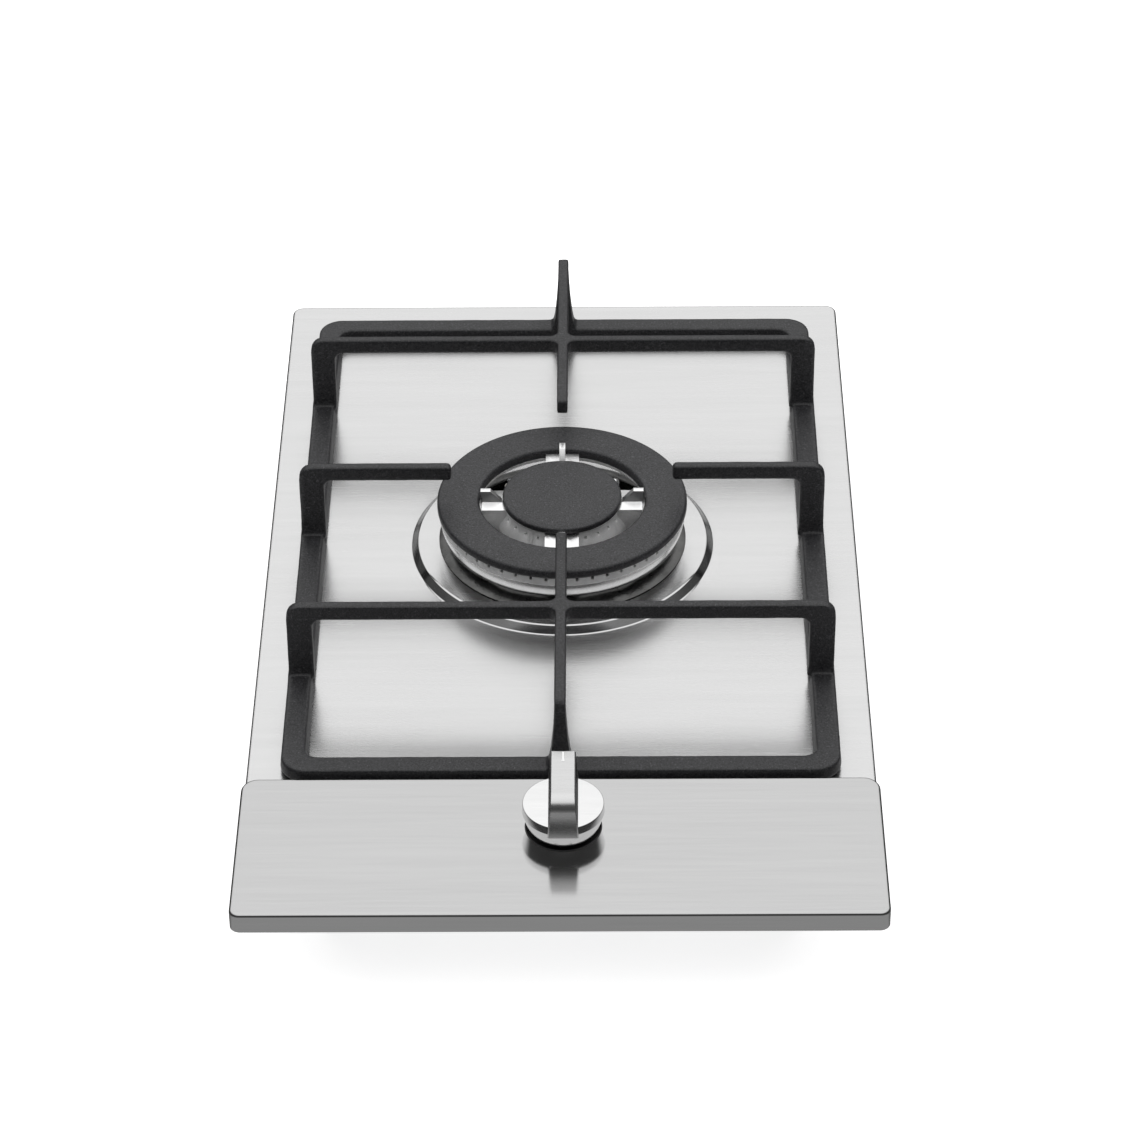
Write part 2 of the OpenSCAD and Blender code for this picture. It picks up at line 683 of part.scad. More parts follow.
module tap_plug() color("goldenrod") at_knob(plug_z) difference() {
    cylinder(r = plug_r, h = plug_h);
    translate([-3.6, -1.6, 1.8]) cube([7.2, 3.2, plug_h]);
    translate([0, 0, -cut]) cylinder(r = 2.5, h = 2.5);
    translate([0, 0, 4]) rotate([0, 90, 0]) cylinder(r = 1.2, h = 20, center = true);
}

module spindle() color("darkgray") at_knob() {
    translate([-3.4, -1.5, plug_z + 6.2]) cube([6.8, 3, 8.3]);
    translate([0, 0, plug_z + 14.3]) cylinder(r = 3.9, h = collar_z - plug_z - 14.3);
    translate([0, 0, collar_z]) cylinder(r = 6.5, h = 1.8);
    translate([0, 0, collar_z + 1.8]) cylinder(r = spindle_r, h = disc_z + 2 - collar_z - 1.8);
    translate([0, 0, disc_z + 2]) intersection() {
        cylinder(r = spindle_r, h = panel_z + 15.5 - disc_z - 2);
        translate([-6, -6, 0]) cube([8.8, 12, 40]);
    }
}

// A coil spring: a tube swept along its helix
module coil_spring(coil_r, wire_r, height, turns) {
    steps = turns * 20;
    helix = [
        for (i = [0:steps])
            let (a = 360 * turns * i / steps)
            [coil_r * cos(a), coil_r * sin(a), wire_r + (height - 2 * wire_r) * i / steps]
    ];
    swept_tube(helix, wire_r, [0, 0, 1]);
}

module spindle_spring() color("silver") at_knob(plug_z + plug_h + 0.05)
    coil_spring(5.3, 0.5, collar_z - plug_z - plug_h - 0.1, 4);

module spindle_disc() color("dimgray") at_knob(disc_z)
    ring(18, spindle_r, 1);

// A dish under the panel's hole; it keeps spills off the tap
module spindle_grommet() color("black") at_knob(panel_z) rotate_extrude() polygon([
    [spindle_r + 0.4, dish_z - 1], [knob_hole_r + 2, dish_z - 1], [knob_hole_r + 2, -sheet],
    [knob_hole_r + 0.2, -sheet], [knob_hole_r + 0.2, dish_z], [spindle_r + 0.4, dish_z]
]);

module knob_bezel() color("black") at_knob(panel_z) rotate_extrude() polygon([
    [knob_hole_r, 0], [knob_hole_r + 0.6, 0], [knob_hole_r + 0.6, 0.2], [knob_hole_r + 0.4, 0.4],
    [knob_hole_r, 0.4]
]);

// The hub's bore has a flat that leaves room for the clip
module hub_bore() {
    intersection() {
        cylinder(r = spindle_r + run_gap, h = 40);
        translate([-6, -6, 0]) cube([9.4, 12, 40]);
    }
}

module knob_hub() color("black") at_knob(panel_z) difference() {
    union() {
        translate([0, 0, skirt_z]) cylinder(r = skirt_r - 1.4, h = disc_under - skirt_z);
        translate([0, 0, disc_under]) cylinder(r = 6, h = 10.4);
    }
    translate([0, 0, skirt_z - cut]) ring(skirt_r - 3.2, 7, 8);
    translate([0, 0, -20.5]) hub_bore();
}

module knob_disc() color("silver") at_knob(panel_z) difference() {
    rotate_extrude() polygon([
        [0, disc_under], [knob_dia / 2 - 1.3, disc_under], [knob_dia / 2 - 1.3, waist_z],
        [skirt_r - 1.2, skirt_z], [skirt_r, skirt_z], [knob_dia / 2, waist_z],
        [knob_dia / 2 - 0.3, disc_h - 0.5], [knob_dia / 2 - 0.8, disc_h], [0, disc_h]
    ]);
    translate([0, 0, disc_under - 1]) cylinder(r = 6, h = 4);
}

// The handle's outline from the side: +X is the hob's rear
module grip_side() {
    nose_r = 7.5;
    nose_x = -11.1;
    foot_x = knob_dia / 2 + 0.6;
    polygon([
        [foot_x, waist_z - 1], [foot_x, knob_h - 1], [foot_x - 1, knob_h],
        for (a = [90:15:165]) [nose_x + nose_r * cos(a), knob_h - nose_r + nose_r * sin(a)],
        [-foot_x, waist_z - 1]
    ]);
}

// The handle stands on the disc; a lip at each end hangs down in front of the disc's edge
module knob_grip() color("whitesmoke") at_knob(panel_z) difference() {
    intersection() {
        rotate([90, 0, 0]) linear_extrude(2 * knob_dia, center = true) polygon([
            [-grip_w / 2 - 1.6, waist_z - 1], [grip_w / 2 + 1.6, waist_z - 1],
            [grip_w / 2, knob_h], [-grip_w / 2, knob_h]
        ]);
        rotate([90, 0, 90]) linear_extrude(2 * grip_w, center = true) grip_side();
        cylinder(r = knob_dia / 2 + 1, h = knob_h + 1);
    }
    cylinder(r = knob_dia / 2 + run_gap, h = disc_h);
    translate([0, 0, disc_h - cut]) cylinder(r = 6, h = disc_under + 10.4 - disc_h + cut);
}

module knob_clip() color("gray") at_knob(panel_z) {
    translate([2.9, -2, skirt_z + 0.2]) cube([0.4, 4, 11]);
}

module switch_body() color([0.15, 0.15, 0.16]) difference() {
    union() {
        translate([plunger_x - 2.7, knob_y - 6, collar_z - 6]) cube([13, 12, 8]);
        translate([plunger_x - 3.05, knob_y - 3, pipe_z + 3]) cube([2.3, 6, 6]);
    }
    translate([plunger_x, knob_y, collar_z - 4.5]) cylinder(r = 1.5 + run_gap, h = 9);
}

module switch_plunger() color("red") translate([plunger_x, knob_y, collar_z - 1.2])
    cylinder(r = 1.5, h = disc_z - seat_gap - collar_z + 1.2);

// ---------- gas rail and inlet ----------

// The rail runs from start_x, under the tap, to the right, and then to the rear
module gas_rail_solid(r, start_x) {
    translate([start_x, rail_y, rail_z]) rotate([0, 90, 0])
        cylinder(r = r, h = rail_x - rail_bend - start_x);
    translate([rail_x - rail_bend, rail_y + rail_bend, rail_z]) pipe_bend(rail_bend, r, -90);
    translate([rail_x, rail_y + rail_bend, rail_z]) rotate([-90, 0, 0])
        cylinder(r = r, h = case_rear_y - 20 - rail_y - rail_bend);
}

module gas_rail() color("lightsteelblue") difference() {
    gas_rail_solid(rail_r, knob_x - 14);
    gas_rail_solid(rail_r - 1.2, knob_x - 12);
    translate([knob_x, rail_y, rail_z]) cylinder(r = 2, h = rail_r + 1);
}

module rail_saddle() color("tan") difference() {
    tap_block(rail_z - rail_r - 2, rail_z - 0.5);
    rail_bore(rail_r);
    saddle_screw_places() cylinder(r = 1.5, h = 30);
}

module rail_brackets() color("silver") for (y = [-90, 120]) translate([rail_x, y, 0])
    difference() {
        union() {
            translate([-16, -6, case_floor_z]) cube([32, 12, 1]);
            translate([-8, -6, case_floor_z]) cube([16, 12, rail_z - case_floor_z + 1]);
        }
        translate([0, 0, rail_z]) rotate([90, 0, 0]) cylinder(r = rail_r, h = 14, center = true);
    }

module inlet_fitting() color("goldenrod") translate([rail_x, case_rear_y, rail_z])
    rotate([-90, 0, 0]) difference() {
        union() {
            translate([0, 0, -24]) cylinder(r = 8, h = 13);
            translate([0, 0, -11]) cylinder(d = 21 / cos(30), h = 11 - case_sheet, $fn = 6);
            translate([0, 0, -2 * case_sheet]) cylinder(r = inlet_neck_r, h = 6);
            translate([0, 0, 4]) cylinder(d = inlet_dia, h = 15.6);
        }
        translate([0, 0, -24 - cut]) cylinder(r = rail_r, h = 10);
        translate([0, 0, -15]) cylinder(r = 5, h = 50);
    }

module inlet_nut() color("goldenrod") translate([rail_x, case_rear_y, rail_z])
    rotate([-90, 0, 0]) hex_nut(24, 4, inlet_neck_r);

// ---------- ignition ----------

module igniter() color([0.16, 0.16, 0.17]) {
    translate([-107, 105, case_floor_z]) cube([44, 62, 22]);
    translate([-85, 105, 14]) rotate([90, 0, 0]) cylinder(r = 3, h = 8);
}

module igniter_lead() color("firebrick") {
    foot = pin_ring_r * [cos(electrode_a), sin(electrode_a), 0] + [0, burner_y, 0];
    route = [
        [-85, 97, 14], [-85, 86, 14], [-40, 72, 12], foot + [0, 0, 12],
        foot + [0, 0, cup_floor_z - 9]
    ];
    swept_tube(rounded_route(route, 4), 1.4, [0, 0, 1]);
}

module wiring() color("royalblue") for (gap = [0, 3]) translate([gap, 0, gap]) {
    swept_tube([[-80, 167, 10], [-80, 196, 10]], 0.9, [0, 0, 1]);
    route = [
        [-70, 105, 4], [-70, -140, 4], [plunger_x + 3, -160, 4],
        [plunger_x + 3, knob_y + 14, collar_z - 3], [plunger_x + 3, knob_y + 6, collar_z - 3]
    ];
    swept_tube(rounded_route(route, 6), 0.9, [0, 0, 1]);
}

module terminal_block() color("ivory") translate([-84, 196, case_floor_z]) difference() {
    cube([28, 18, 18]);
    for (i = [0:2]) translate([5 + 9 * i, 9, 10]) cylinder(r = 2.2, h = 9);
}

module cable_gland() color("black") translate([-70, case_rear_y, 20]) rotate([-90, 0, 0])
    difference() {
        union() {
            translate([0, 0, -6]) cylinder(r = 6, h = 12);
            cylinder(r = 9, h = 6);
            translate([0, 0, 6]) cylinder(r1 = 8, r2 = 6.5, h = 6);
            translate([0, 0, -case_sheet - 3]) cylinder(d = 17 / cos(30), h = 3, $fn = 6);
        }
        translate([0, 0, -6 - cut]) cylinder(r = 4, h = 20);
    }

// ---------- worktop clamps ----------

module clamp_place(side, y) {
    translate([side * clamp_x, y, 0]) children();
}

module clamp_brackets() color("silver")
    for (side = [-1, 1], y = [clamp_front_y, clamp_rear_y]) clamp_place(side, y)
        scale([side, 1, 1]) difference() {
            union() {
                translate([-8, -14, clamp_lug_z - 11]) cube([1.2, 28, 13]);
                translate([-8, -8, clamp_lug_z]) cube([15, 16, 2]);
            }
            translate([0, 0, clamp_lug_z - cut]) cylinder(r = clamp_screw_r + run_gap, h = 3);
            for (dy = [-9, 9]) translate([-8, dy, worktop_z - 13]) rotate([0, 90, 0])
                cylinder(r = 1.5, h = 4, center = true);
        }

module clamp_screw() color("darkgray") {
    translate([0, 0, 0.4]) difference() {
        cylinder(r = 4, h = 2.5);
        translate([0, 0, -cut]) around(2) translate([-2.5, -0.5, 0]) cube([5, 1, 1.5]);
    }
    shank_z = 2.8;
    translate([0, 0, shank_z]) cylinder(r = clamp_screw_r, h = clamp_lug_z + 5 - shank_z);
}

// The arm points along +Y; its tip is turned up to bite under the worktop
module clamp_arm() color("silver") translate([0, 0, clamp_arm_z]) difference() {
    union() {
        cylinder(r = 6, h = 3);
        translate([-6, 0, 0]) cube([12, clamp_arm_len, 3]);
        translate([-6, clamp_arm_len - 3, 0]) cube([12, 3, 6]);
        cylinder(r = 4, h = 8);
    }
    translate([0, 0, -cut]) cylinder(r = clamp_screw_r + run_gap, h = 9);
}

module clamp_screw_front_left() clamp_place(-1, clamp_front_y) clamp_screw();
module clamp_screw_front_right() clamp_place(1, clamp_front_y) clamp_screw();
module clamp_screw_rear_left() clamp_place(-1, clamp_rear_y) clamp_screw();
module clamp_screw_rear_right() clamp_place(1, clamp_rear_y) clamp_screw();
module clamp_arm_front_left() clamp_place(-1, clamp_front_y) clamp_arm();
module clamp_arm_front_right() clamp_place(1, clamp_front_y) rotate([0, 0, 180]) clamp_arm();
module clamp_arm_rear_left() clamp_place(-1, clamp_rear_y) clamp_arm();
module clamp_arm_rear_right() clamp_place(1, clamp_rear_y) rotate([0, 0, 180]) clamp_arm();

top_plate();
front_panel();
worktop_seal();
bottom_case();
plate_studs();
case_nuts();
pan_support();
support_feet();
burner_cup();
burner_gasket();
burner_bridge();
burner_screws();
burner_crown();
outer_cap();
inner_cap();
injector_holder();
injector();
burner_pipe();
pipe_nuts();
spark_electrode();
electrode_tip();
thermocouple();
thermocouple_lead();
magnet_unit();
tap_body();
tap_cover();
tap_screws();
tap_plug();
spindle();
spindle_spring();
spindle_disc();
spindle_grommet();
knob_bezel();
knob_hub();
knob_disc();
knob_grip();
knob_clip();
switch_body();
switch_plunger();
gas_rail();
rail_saddle();
rail_brackets();
inlet_fitting();
inlet_nut();
igniter();
igniter_lead();
wiring();
terminal_block();
cable_gland();
clamp_brackets();
clamp_screw_front_left();
clamp_screw_front_right();
clamp_screw_rear_left();
clamp_screw_rear_right();
clamp_arm_front_left();
clamp_arm_front_right();
clamp_arm_rear_left();
clamp_arm_rear_right();
case_screws();
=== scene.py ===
"""Looks of a built-in domino gas hob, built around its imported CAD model."""
import json
import math

import bmesh
import bpy
import numpy as np
from mathutils import Matrix, Vector, noise


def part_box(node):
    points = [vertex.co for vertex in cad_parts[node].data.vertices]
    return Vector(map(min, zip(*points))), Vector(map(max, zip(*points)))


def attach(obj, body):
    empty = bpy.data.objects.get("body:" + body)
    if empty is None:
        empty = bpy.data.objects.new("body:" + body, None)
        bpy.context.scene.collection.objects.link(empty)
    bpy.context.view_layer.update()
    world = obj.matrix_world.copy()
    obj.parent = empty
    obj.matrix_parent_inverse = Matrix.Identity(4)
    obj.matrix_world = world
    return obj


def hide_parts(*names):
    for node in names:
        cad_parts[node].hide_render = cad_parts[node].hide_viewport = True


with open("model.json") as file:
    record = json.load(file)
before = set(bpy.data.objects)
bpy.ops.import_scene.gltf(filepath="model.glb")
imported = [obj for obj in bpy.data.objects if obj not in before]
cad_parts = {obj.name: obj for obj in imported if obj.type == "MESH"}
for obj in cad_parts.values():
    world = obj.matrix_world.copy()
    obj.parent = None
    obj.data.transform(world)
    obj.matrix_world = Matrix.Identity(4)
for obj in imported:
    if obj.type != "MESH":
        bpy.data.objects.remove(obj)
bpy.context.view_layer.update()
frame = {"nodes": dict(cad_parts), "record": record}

MM = 0.001
scene = bpy.context.scene


# ---------- places, in millimetres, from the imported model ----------


def span(node):
    low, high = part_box(node)
    return [v / MM for v in low], [v / MM for v in high]


PLATE_LO, PLATE_HI = span("top_plate")
PANEL_LO, PANEL_HI = span("front_panel")
FRAME_LO, FRAME_HI = span("pan_support")
CAP_LO, CAP_HI = span("outer_cap")
INNER_LO, INNER_HI = span("inner_cap")
DISC_LO, DISC_HI = span("knob_disc")
GRIP_LO, GRIP_HI = span("knob_grip")
BEZEL_LO, BEZEL_HI = span("knob_bezel")
BEZEL_WIDTH = 0.6
HOLE_R = (BEZEL_HI[0] - BEZEL_LO[0]) / 2 - BEZEL_WIDTH
SHEET = 0.8
PLATE_Z = span("plate_studs")[1][2] + SHEET
PANEL_Z = PANEL_HI[2]
BURNER = ((CAP_LO[0] + CAP_HI[0]) / 2, (CAP_LO[1] + CAP_HI[1]) / 2)
KNOB = ((DISC_LO[0] + DISC_HI[0]) / 2, (DISC_LO[1] + DISC_HI[1]) / 2)

RECORD = frame["record"]
BODY_OF = {n: b for b, members in RECORD["behaviour"]["bodies"].items() for n in members}
SLOT_OF = {part["node"]: part["material_slot"] for part in RECORD["subparts"]}


# ---------- mesh helpers, in millimetres ----------


def round_corners(points, radii, steps, closed=True):
    """The outline with its corners rounded, each by its own radius."""
    out = []
    count = len(points)
    for i, (p, r) in enumerate(zip(points, radii)):
        if r <= 0 or (not closed and i in (0, count - 1)):
            out.append(tuple(p))
            continue
        p = Vector(p)
        to_a, to_b = Vector(points[i - 1]) - p, Vector(points[(i + 1) % count]) - p
        len_a, len_b = to_a.length, to_b.length
        to_a.normalize()
        to_b.normalize()
        angle = to_a.angle(to_b)
        if angle > math.pi - 0.02:
            out.append(tuple(p))
            continue
        run = min(r / math.tan(angle / 2), 0.49 * len_a, 0.49 * len_b)
        real_r = run * math.tan(angle / 2)
        centre = p + (to_a + to_b).normalized() * (real_r / math.sin(angle / 2))
        first, last = p + to_a * run - centre, p + to_b * run - centre
        start = math.atan2(first.y, first.x)
        turn = (math.atan2(last.y, last.x) - start + math.pi) % (2 * math.pi) - math.pi
        for k in range(steps + 1):
            a = start + turn * k / steps
            out.append((centre.x + real_r * math.cos(a), centre.y + real_r * math.sin(a)))
    return out


def bridge(bm, a, b):
    """Faces between two rings of vertices; either may be a single point."""
    if len(a) == 1 and len(b) == 1:
        return
    n = max(len(a), len(b))
    for i in range(n):
        j = (i + 1) % n
        corner = [a[i % len(a)], a[j % len(a)], b[j % len(b)], b[i % len(b)]]
        unique = list(dict.fromkeys(corner))
        bm.faces.new(unique)


def ring(bm, centre, r, z, segments):
    """A horizontal circle of vertices, or a single one at radius 0."""
    if r < 1e-6:
        return [bm.verts.new((centre[0], centre[1], z))]
    step = 2 * math.pi / segments
    angles = [i * step for i in range(segments)]
    return [bm.verts.new((centre[0] + r * math.cos(a), centre[1] + r * math.sin(a), z)) for a in angles]


def lathe(bm, profile, centre, segments, closed=True):
    """Turns a profile of (radius, height) points about a vertical axis."""
    rings = [ring(bm, centre, r, z, segments) for r, z in profile]
    for a, b in zip(rings, rings[1:] + (rings[:1] if closed else [])):
        bridge(bm, a, b)


def solid(bm, rows):
    """A closed solid through rows of vertices."""
    for a, b in zip(rows, rows[1:]):
        bridge(bm, a, b)
    bm.faces.new(list(reversed(rows[0])))
    bm.faces.new(rows[-1])


def prism(bm, outline, place, low, high):
    """A closed prism: place(u, v, t) puts an outline point (u, v) at depth t."""
    solid(bm, [[bm.verts.new(place(u, v, t)) for u, v in outline] for t in (low, high)])


def stack(bm, sections):
    """A closed solid through rectangles (x0, x1, y0, y1, z), from the bottom up."""
    rings = []
    for x0, x1, y0, y1, z in sections:
        rings.append([bm.verts.new(p) for p in ((x0, y0, z), (x1, y0, z), (x1, y1, z), (x0, y1, z))])
    solid(bm, rings)


def shrunk(box, inset, radii):
    """The box drawn in by the inset, with a radius for each corner from the low left one anticlockwise."""
    x0, x1, y0, y1 = box[0] + inset, box[1] - inset, box[2] + inset, box[3] - inset
    corners = [(x0, y0), (x1, y0), (x1, y1), (x0, y1)]
    return round_corners(corners, [max(r - inset, 0.4) for r in radii], 8)


def level(bm, points, z):
    """The outline's vertices at one height."""
    return [bm.verts.new((x, y, z)) for x, y in points]


def fill(bm, *loops):
    """A flat face between closed rings of vertices, cut into triangles."""
    edges = []
    for loop in loops:
        for i, v in enumerate(loop):
            w = loop[(i + 1) % len(loop)]
            edges.append(bm.edges.get((v, w)) or bm.edges.new((v, w)))
    bmesh.ops.triangle_fill(bm, use_beauty=True, use_dissolve=False, edges=edges)


def to_object(name, bm, materials, sharp=35):
    """The piece's object, in metres, smooth apart from its sharp edges."""
    bmesh.ops.recalc_face_normals(bm, faces=bm.faces)
    bmesh.ops.scale(bm, vec=(MM, MM, MM), verts=bm.verts)
    mesh = bpy.data.meshes.new(name)
    bm.to_mesh(mesh)
    bm.free()
    for m in materials if isinstance(materials, (list, tuple)) else [materials]:
        mesh.materials.append(m)
    mesh.polygons.foreach_set("use_smooth", [True] * len(mesh.polygons))
    if sharp:
        mesh.set_sharp_from_angle(angle=math.radians(sharp))
    obj = bpy.data.objects.new(name, mesh)
    scene.collection.objects.link(obj)
    return obj


def place_piece(obj, node):
    """Puts the piece on the body of the CAD node it stands for, and hides that node."""
    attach(obj, BODY_OF[node])
    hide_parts(node)


# ---------- materials ----------


class Nodes:
    """A short way to write a node tree."""

    def __init__(self, name):
        self.material = bpy.data.materials.new(name)
        self.material.use_nodes = True
        self.tree = self.material.node_tree
        self.shader = self.tree.nodes["Principled BSDF"]
        coords = self.add("ShaderNodeTexCoord")
        self.here = coords.outputs["Object"]

    def add(self, kind):
        return self.tree.nodes.new(kind)

    def link(self, a, b):
        self.tree.links.new(a, b)

    def stretched(self, scale):
        node = self.add("ShaderNodeMapping")
        node.inputs["Scale"].default_value = scale
        self.link(self.here, node.inputs["Vector"])
        return node.outputs["Vector"]

    def noise(self, scale, detail=3.0, roughness=0.55, vector=None, distortion=0.0):
        node = self.add("ShaderNodeTexNoise")
        node.inputs["Scale"].default_value = scale
        node.inputs["Detail"].default_value = detail
        node.inputs["Roughness"].default_value = roughness
        node.inputs["Distortion"].default_value = distortion
        self.link(vector or self.here, node.inputs["Vector"])
        return node.outputs["Fac"]

    def cells(self, scale):
        node = self.add("ShaderNodeTexVoronoi")
        node.inputs["Scale"].default_value = scale
        self.link(self.here, node.inputs["Vector"])
        return node.outputs["Color"]

    def ramp(self, value, stops):
        """A colour, or a grey given as one number, for each position."""
        node = self.add("ShaderNodeValToRGB")
        ramp = node.color_ramp
        while len(ramp.elements) < len(stops):
            ramp.elements.new(0.5)
        for element, (position, colour) in zip(ramp.elements, stops):
            element.position = position
            rgb = colour if isinstance(colour, tuple) else (colour,) * 3
            element.color = (*rgb, 1)
        self.link(value, node.inputs["Fac"])
        return node.outputs["Color"]

    def blend(self, a, b, factor):
        """A mix of two colours; each argument is a socket or a constant."""
        node = self.add("ShaderNodeMix")
        node.data_type = "RGBA"
        fac, first, second = node.inputs[0], node.inputs[6], node.inputs[7]
        for socket, value in ((fac, factor), (first, a), (second, b)):
            if isinstance(value, (int, float)):
                socket.default_value = value
            elif isinstance(value, tuple):
                socket.default_value = (*value, 1)
            else:
                self.link(value, socket)
        return node.outputs[2]

    def blend_value(self, a, b, factor):
        node = self.add("ShaderNodeMix")
        node.data_type = "FLOAT"
        node.inputs[0].default_value = factor
        self.link(a, node.inputs[2])
        self.link(b, node.inputs[3])
        return node.outputs[0]

    def wander(self, a, b, share, low, high, start=0.3, end=0.7):
        """A value that wanders between two limits with a mix of two noises."""
        return self.ramp(self.blend_value(a, b, share), [(start, low), (end, min(1.0, high))])

    def bump(self, height, strength, distance):
        node = self.add("ShaderNodeBump")
        node.inputs["Strength"].default_value = strength
        node.inputs["Distance"].default_value = distance
        self.link(height, node.inputs["Height"])
        return node.outputs["Normal"]

    def finish(self, colour, rough, normal, metallic=0.0):
        for key, socket in (("Base Color", colour), ("Roughness", rough), ("Normal", normal)):
            self.link(socket, self.shader.inputs[key])
        self.shader.inputs["Metallic"].default_value = metallic
        return self.material


def around_tone(tone, spread):
    """A darker and a lighter version of a colour."""
    return tuple(v * (1 - spread) for v in tone), tuple(min(1.0, v * (1 + spread)) for v in tone)


def brushed_steel(name, tone, rough, across=1600.0, along=12.0, depth=0.18, contrast=1.0):
    """Sheet steel brushed along X: long fine lines, faint broader streaks and soft clouds."""
    n = Nodes(name)
    fine = n.noise(1, 4, 0.7, n.stretched((along, across, across)))
    streaks = n.noise(1, 3, 0.6, n.stretched((along / 3, across / 9, across / 9)))
    clouds = n.noise(14, 3, 0.5)
    low, high = tone * (1 - 0.10 * contrast), tone * (1 + 0.06 * contrast)
    lines = n.ramp(fine, [(0.3, low), (0.7, high)])
    broad = n.ramp(streaks, [(0.3, low * 0.97), (0.7, high)])
    colour = n.blend(lines, broad, 0.45)
    roughness = n.wander(fine, clouds, 0.4, rough * 0.88, rough * 1.12)
    normal = n.bump(fine, depth, 0.0001)
    return n.finish(colour, roughness, normal, metallic=1.0)


def metal(name, tone, rough, grain=900.0, depth=0.15, spread=0.12, stain=None, metallic=1.0):
    """Cast, plated or turned metal: fine grain, uneven tone and, where given, patches of a second tone."""
    n = Nodes(name)
    fine = n.noise(grain, 3, 0.6)
    clouds = n.noise(60, 4, 0.6, distortion=0.4)
    low, high = around_tone(tone, spread)
    colour = n.ramp(clouds, [(0.3, low), (0.72, high)])
    if stain:
        colour = n.blend(colour, stain, n.ramp(n.noise(27, 3, 0.65), [(0.52, 0.0), (0.78, 0.7)]))
    roughness = n.wander(fine, clouds, 0.5, rough * 0.8, rough * 1.25)
    return n.finish(colour, roughness, n.bump(fine, depth, 0.0002), metallic=metallic)


def galvanised(name):
    """Zinc-coated sheet with its faceted spangle."""
    n = Nodes(name)
    cells = n.cells(170)
    fine = n.noise(1400, 2, 0.5)
    spangle = n.add("ShaderNodeSeparateColor")
    n.link(cells, spangle.inputs["Color"])
    colour = n.ramp(spangle.outputs["Red"], [(0.0, (0.42, 0.43, 0.45)), (1.0, (0.60, 0.61, 0.63))])
    roughness = n.wander(spangle.outputs["Green"], n.noise(40, 3, 0.6), 0.4, 0.28, 0.48, 0.1, 0.9)
    return n.finish(colour, roughness, n.bump(fine, 0.08, 0.0002), metallic=1.0)


def enamel(name, dark, light, rough, grain=1000.0):
    """Matt vitreous enamel on cast iron: a fine pebbled skin with pale specks."""
    n = Nodes(name)
    pebbles = n.noise(grain, 2, 0.6)
    skin = n.ramp(n.noise(grain * 1.3, 2, 0.7), [(0.38, dark), (0.62, light)])
    pale = tuple(min(1.0, v * 2.2 + 0.02) for v in light)
    colour = n.blend(skin, pale, n.ramp(n.noise(grain * 0.9, 2, 0.8), [(0.60, 0.0), (0.70, 0.8)]))
    roughness = n.wander(pebbles, n.noise(35, 3, 0.6), 0.5, rough * 0.88, rough * 1.12)
    return n.finish(colour, roughness, n.bump(pebbles, 0.5, 0.0003))


def moulded(name, tone, rough, grain=1800.0, depth=0.12, spread=0.15):
    """Moulded plastic, rubber or ceramic with a fine grain and slight wear."""
    n = Nodes(name)
    fine = n.noise(grain, 2, 0.5)
    clouds = n.noise(70, 4, 0.6)
    low, high = around_tone(tone, spread)
    colour = n.ramp(clouds, [(0.3, low), (0.7, high)])
    roughness = n.wander(fine, clouds, 0.5, rough * 0.85, rough * 1.15)
    return n.finish(colour, roughness, n.bump(fine, depth, 0.0002))


STEEL = brushed_steel("steel_plate", 0.63, 0.26, along=30.0, depth=0.06, contrast=0.35)
PANEL_STEEL = brushed_steel("steel_panel", 0.50, 0.12, across=1300.0, along=20.0, depth=0.10, contrast=0.5)
PRESSED = metal("steel_pressed", (0.60, 0.60, 0.60), 0.12, grain=1500.0, depth=0.03, spread=0.05)
ENAMEL = enamel("enamel_cast_iron", (0.006, 0.006, 0.007), (0.034, 0.034, 0.037), 0.47)
CAP_ENAMEL = enamel("enamel_cap", (0.008, 0.008, 0.009), (0.042, 0.042, 0.046), 0.46, grain=1100.0)
BLASTED = metal("aluminium_blasted", (0.86,) * 3, 0.50, grain=1100.0, depth=0.7, spread=0.10, metallic=0.45)
POLISHED = brushed_steel("aluminium_turned", 0.74, 0.16, across=900.0, along=900.0, depth=0.05)
BRIGHT = metal("aluminium_bright", (0.86, 0.86, 0.86), 0.30, grain=1200.0, depth=0.2, spread=0.05)
CHROME = brushed_steel("knob_polished", 0.74, 0.12, across=1800.0, along=60.0, depth=0.03, contrast=0.5)
SATIN = brushed_steel("knob_satin", 0.60, 0.28, across=1800.0, along=60.0, depth=0.05, contrast=0.6)
RIBBED = moulded("knob_black", (0.012, 0.012, 0.013), 0.38)
# the cast aluminium gets a very dark tone: painted shade for the shadow under the burner's crown, where the
# cup sits
CAST_PAINTED_SHADE = metal("cup_cast_painted_shade", (0.12, 0.12, 0.118), 0.30, grain=900.0, depth=0.7, spread=0.4)

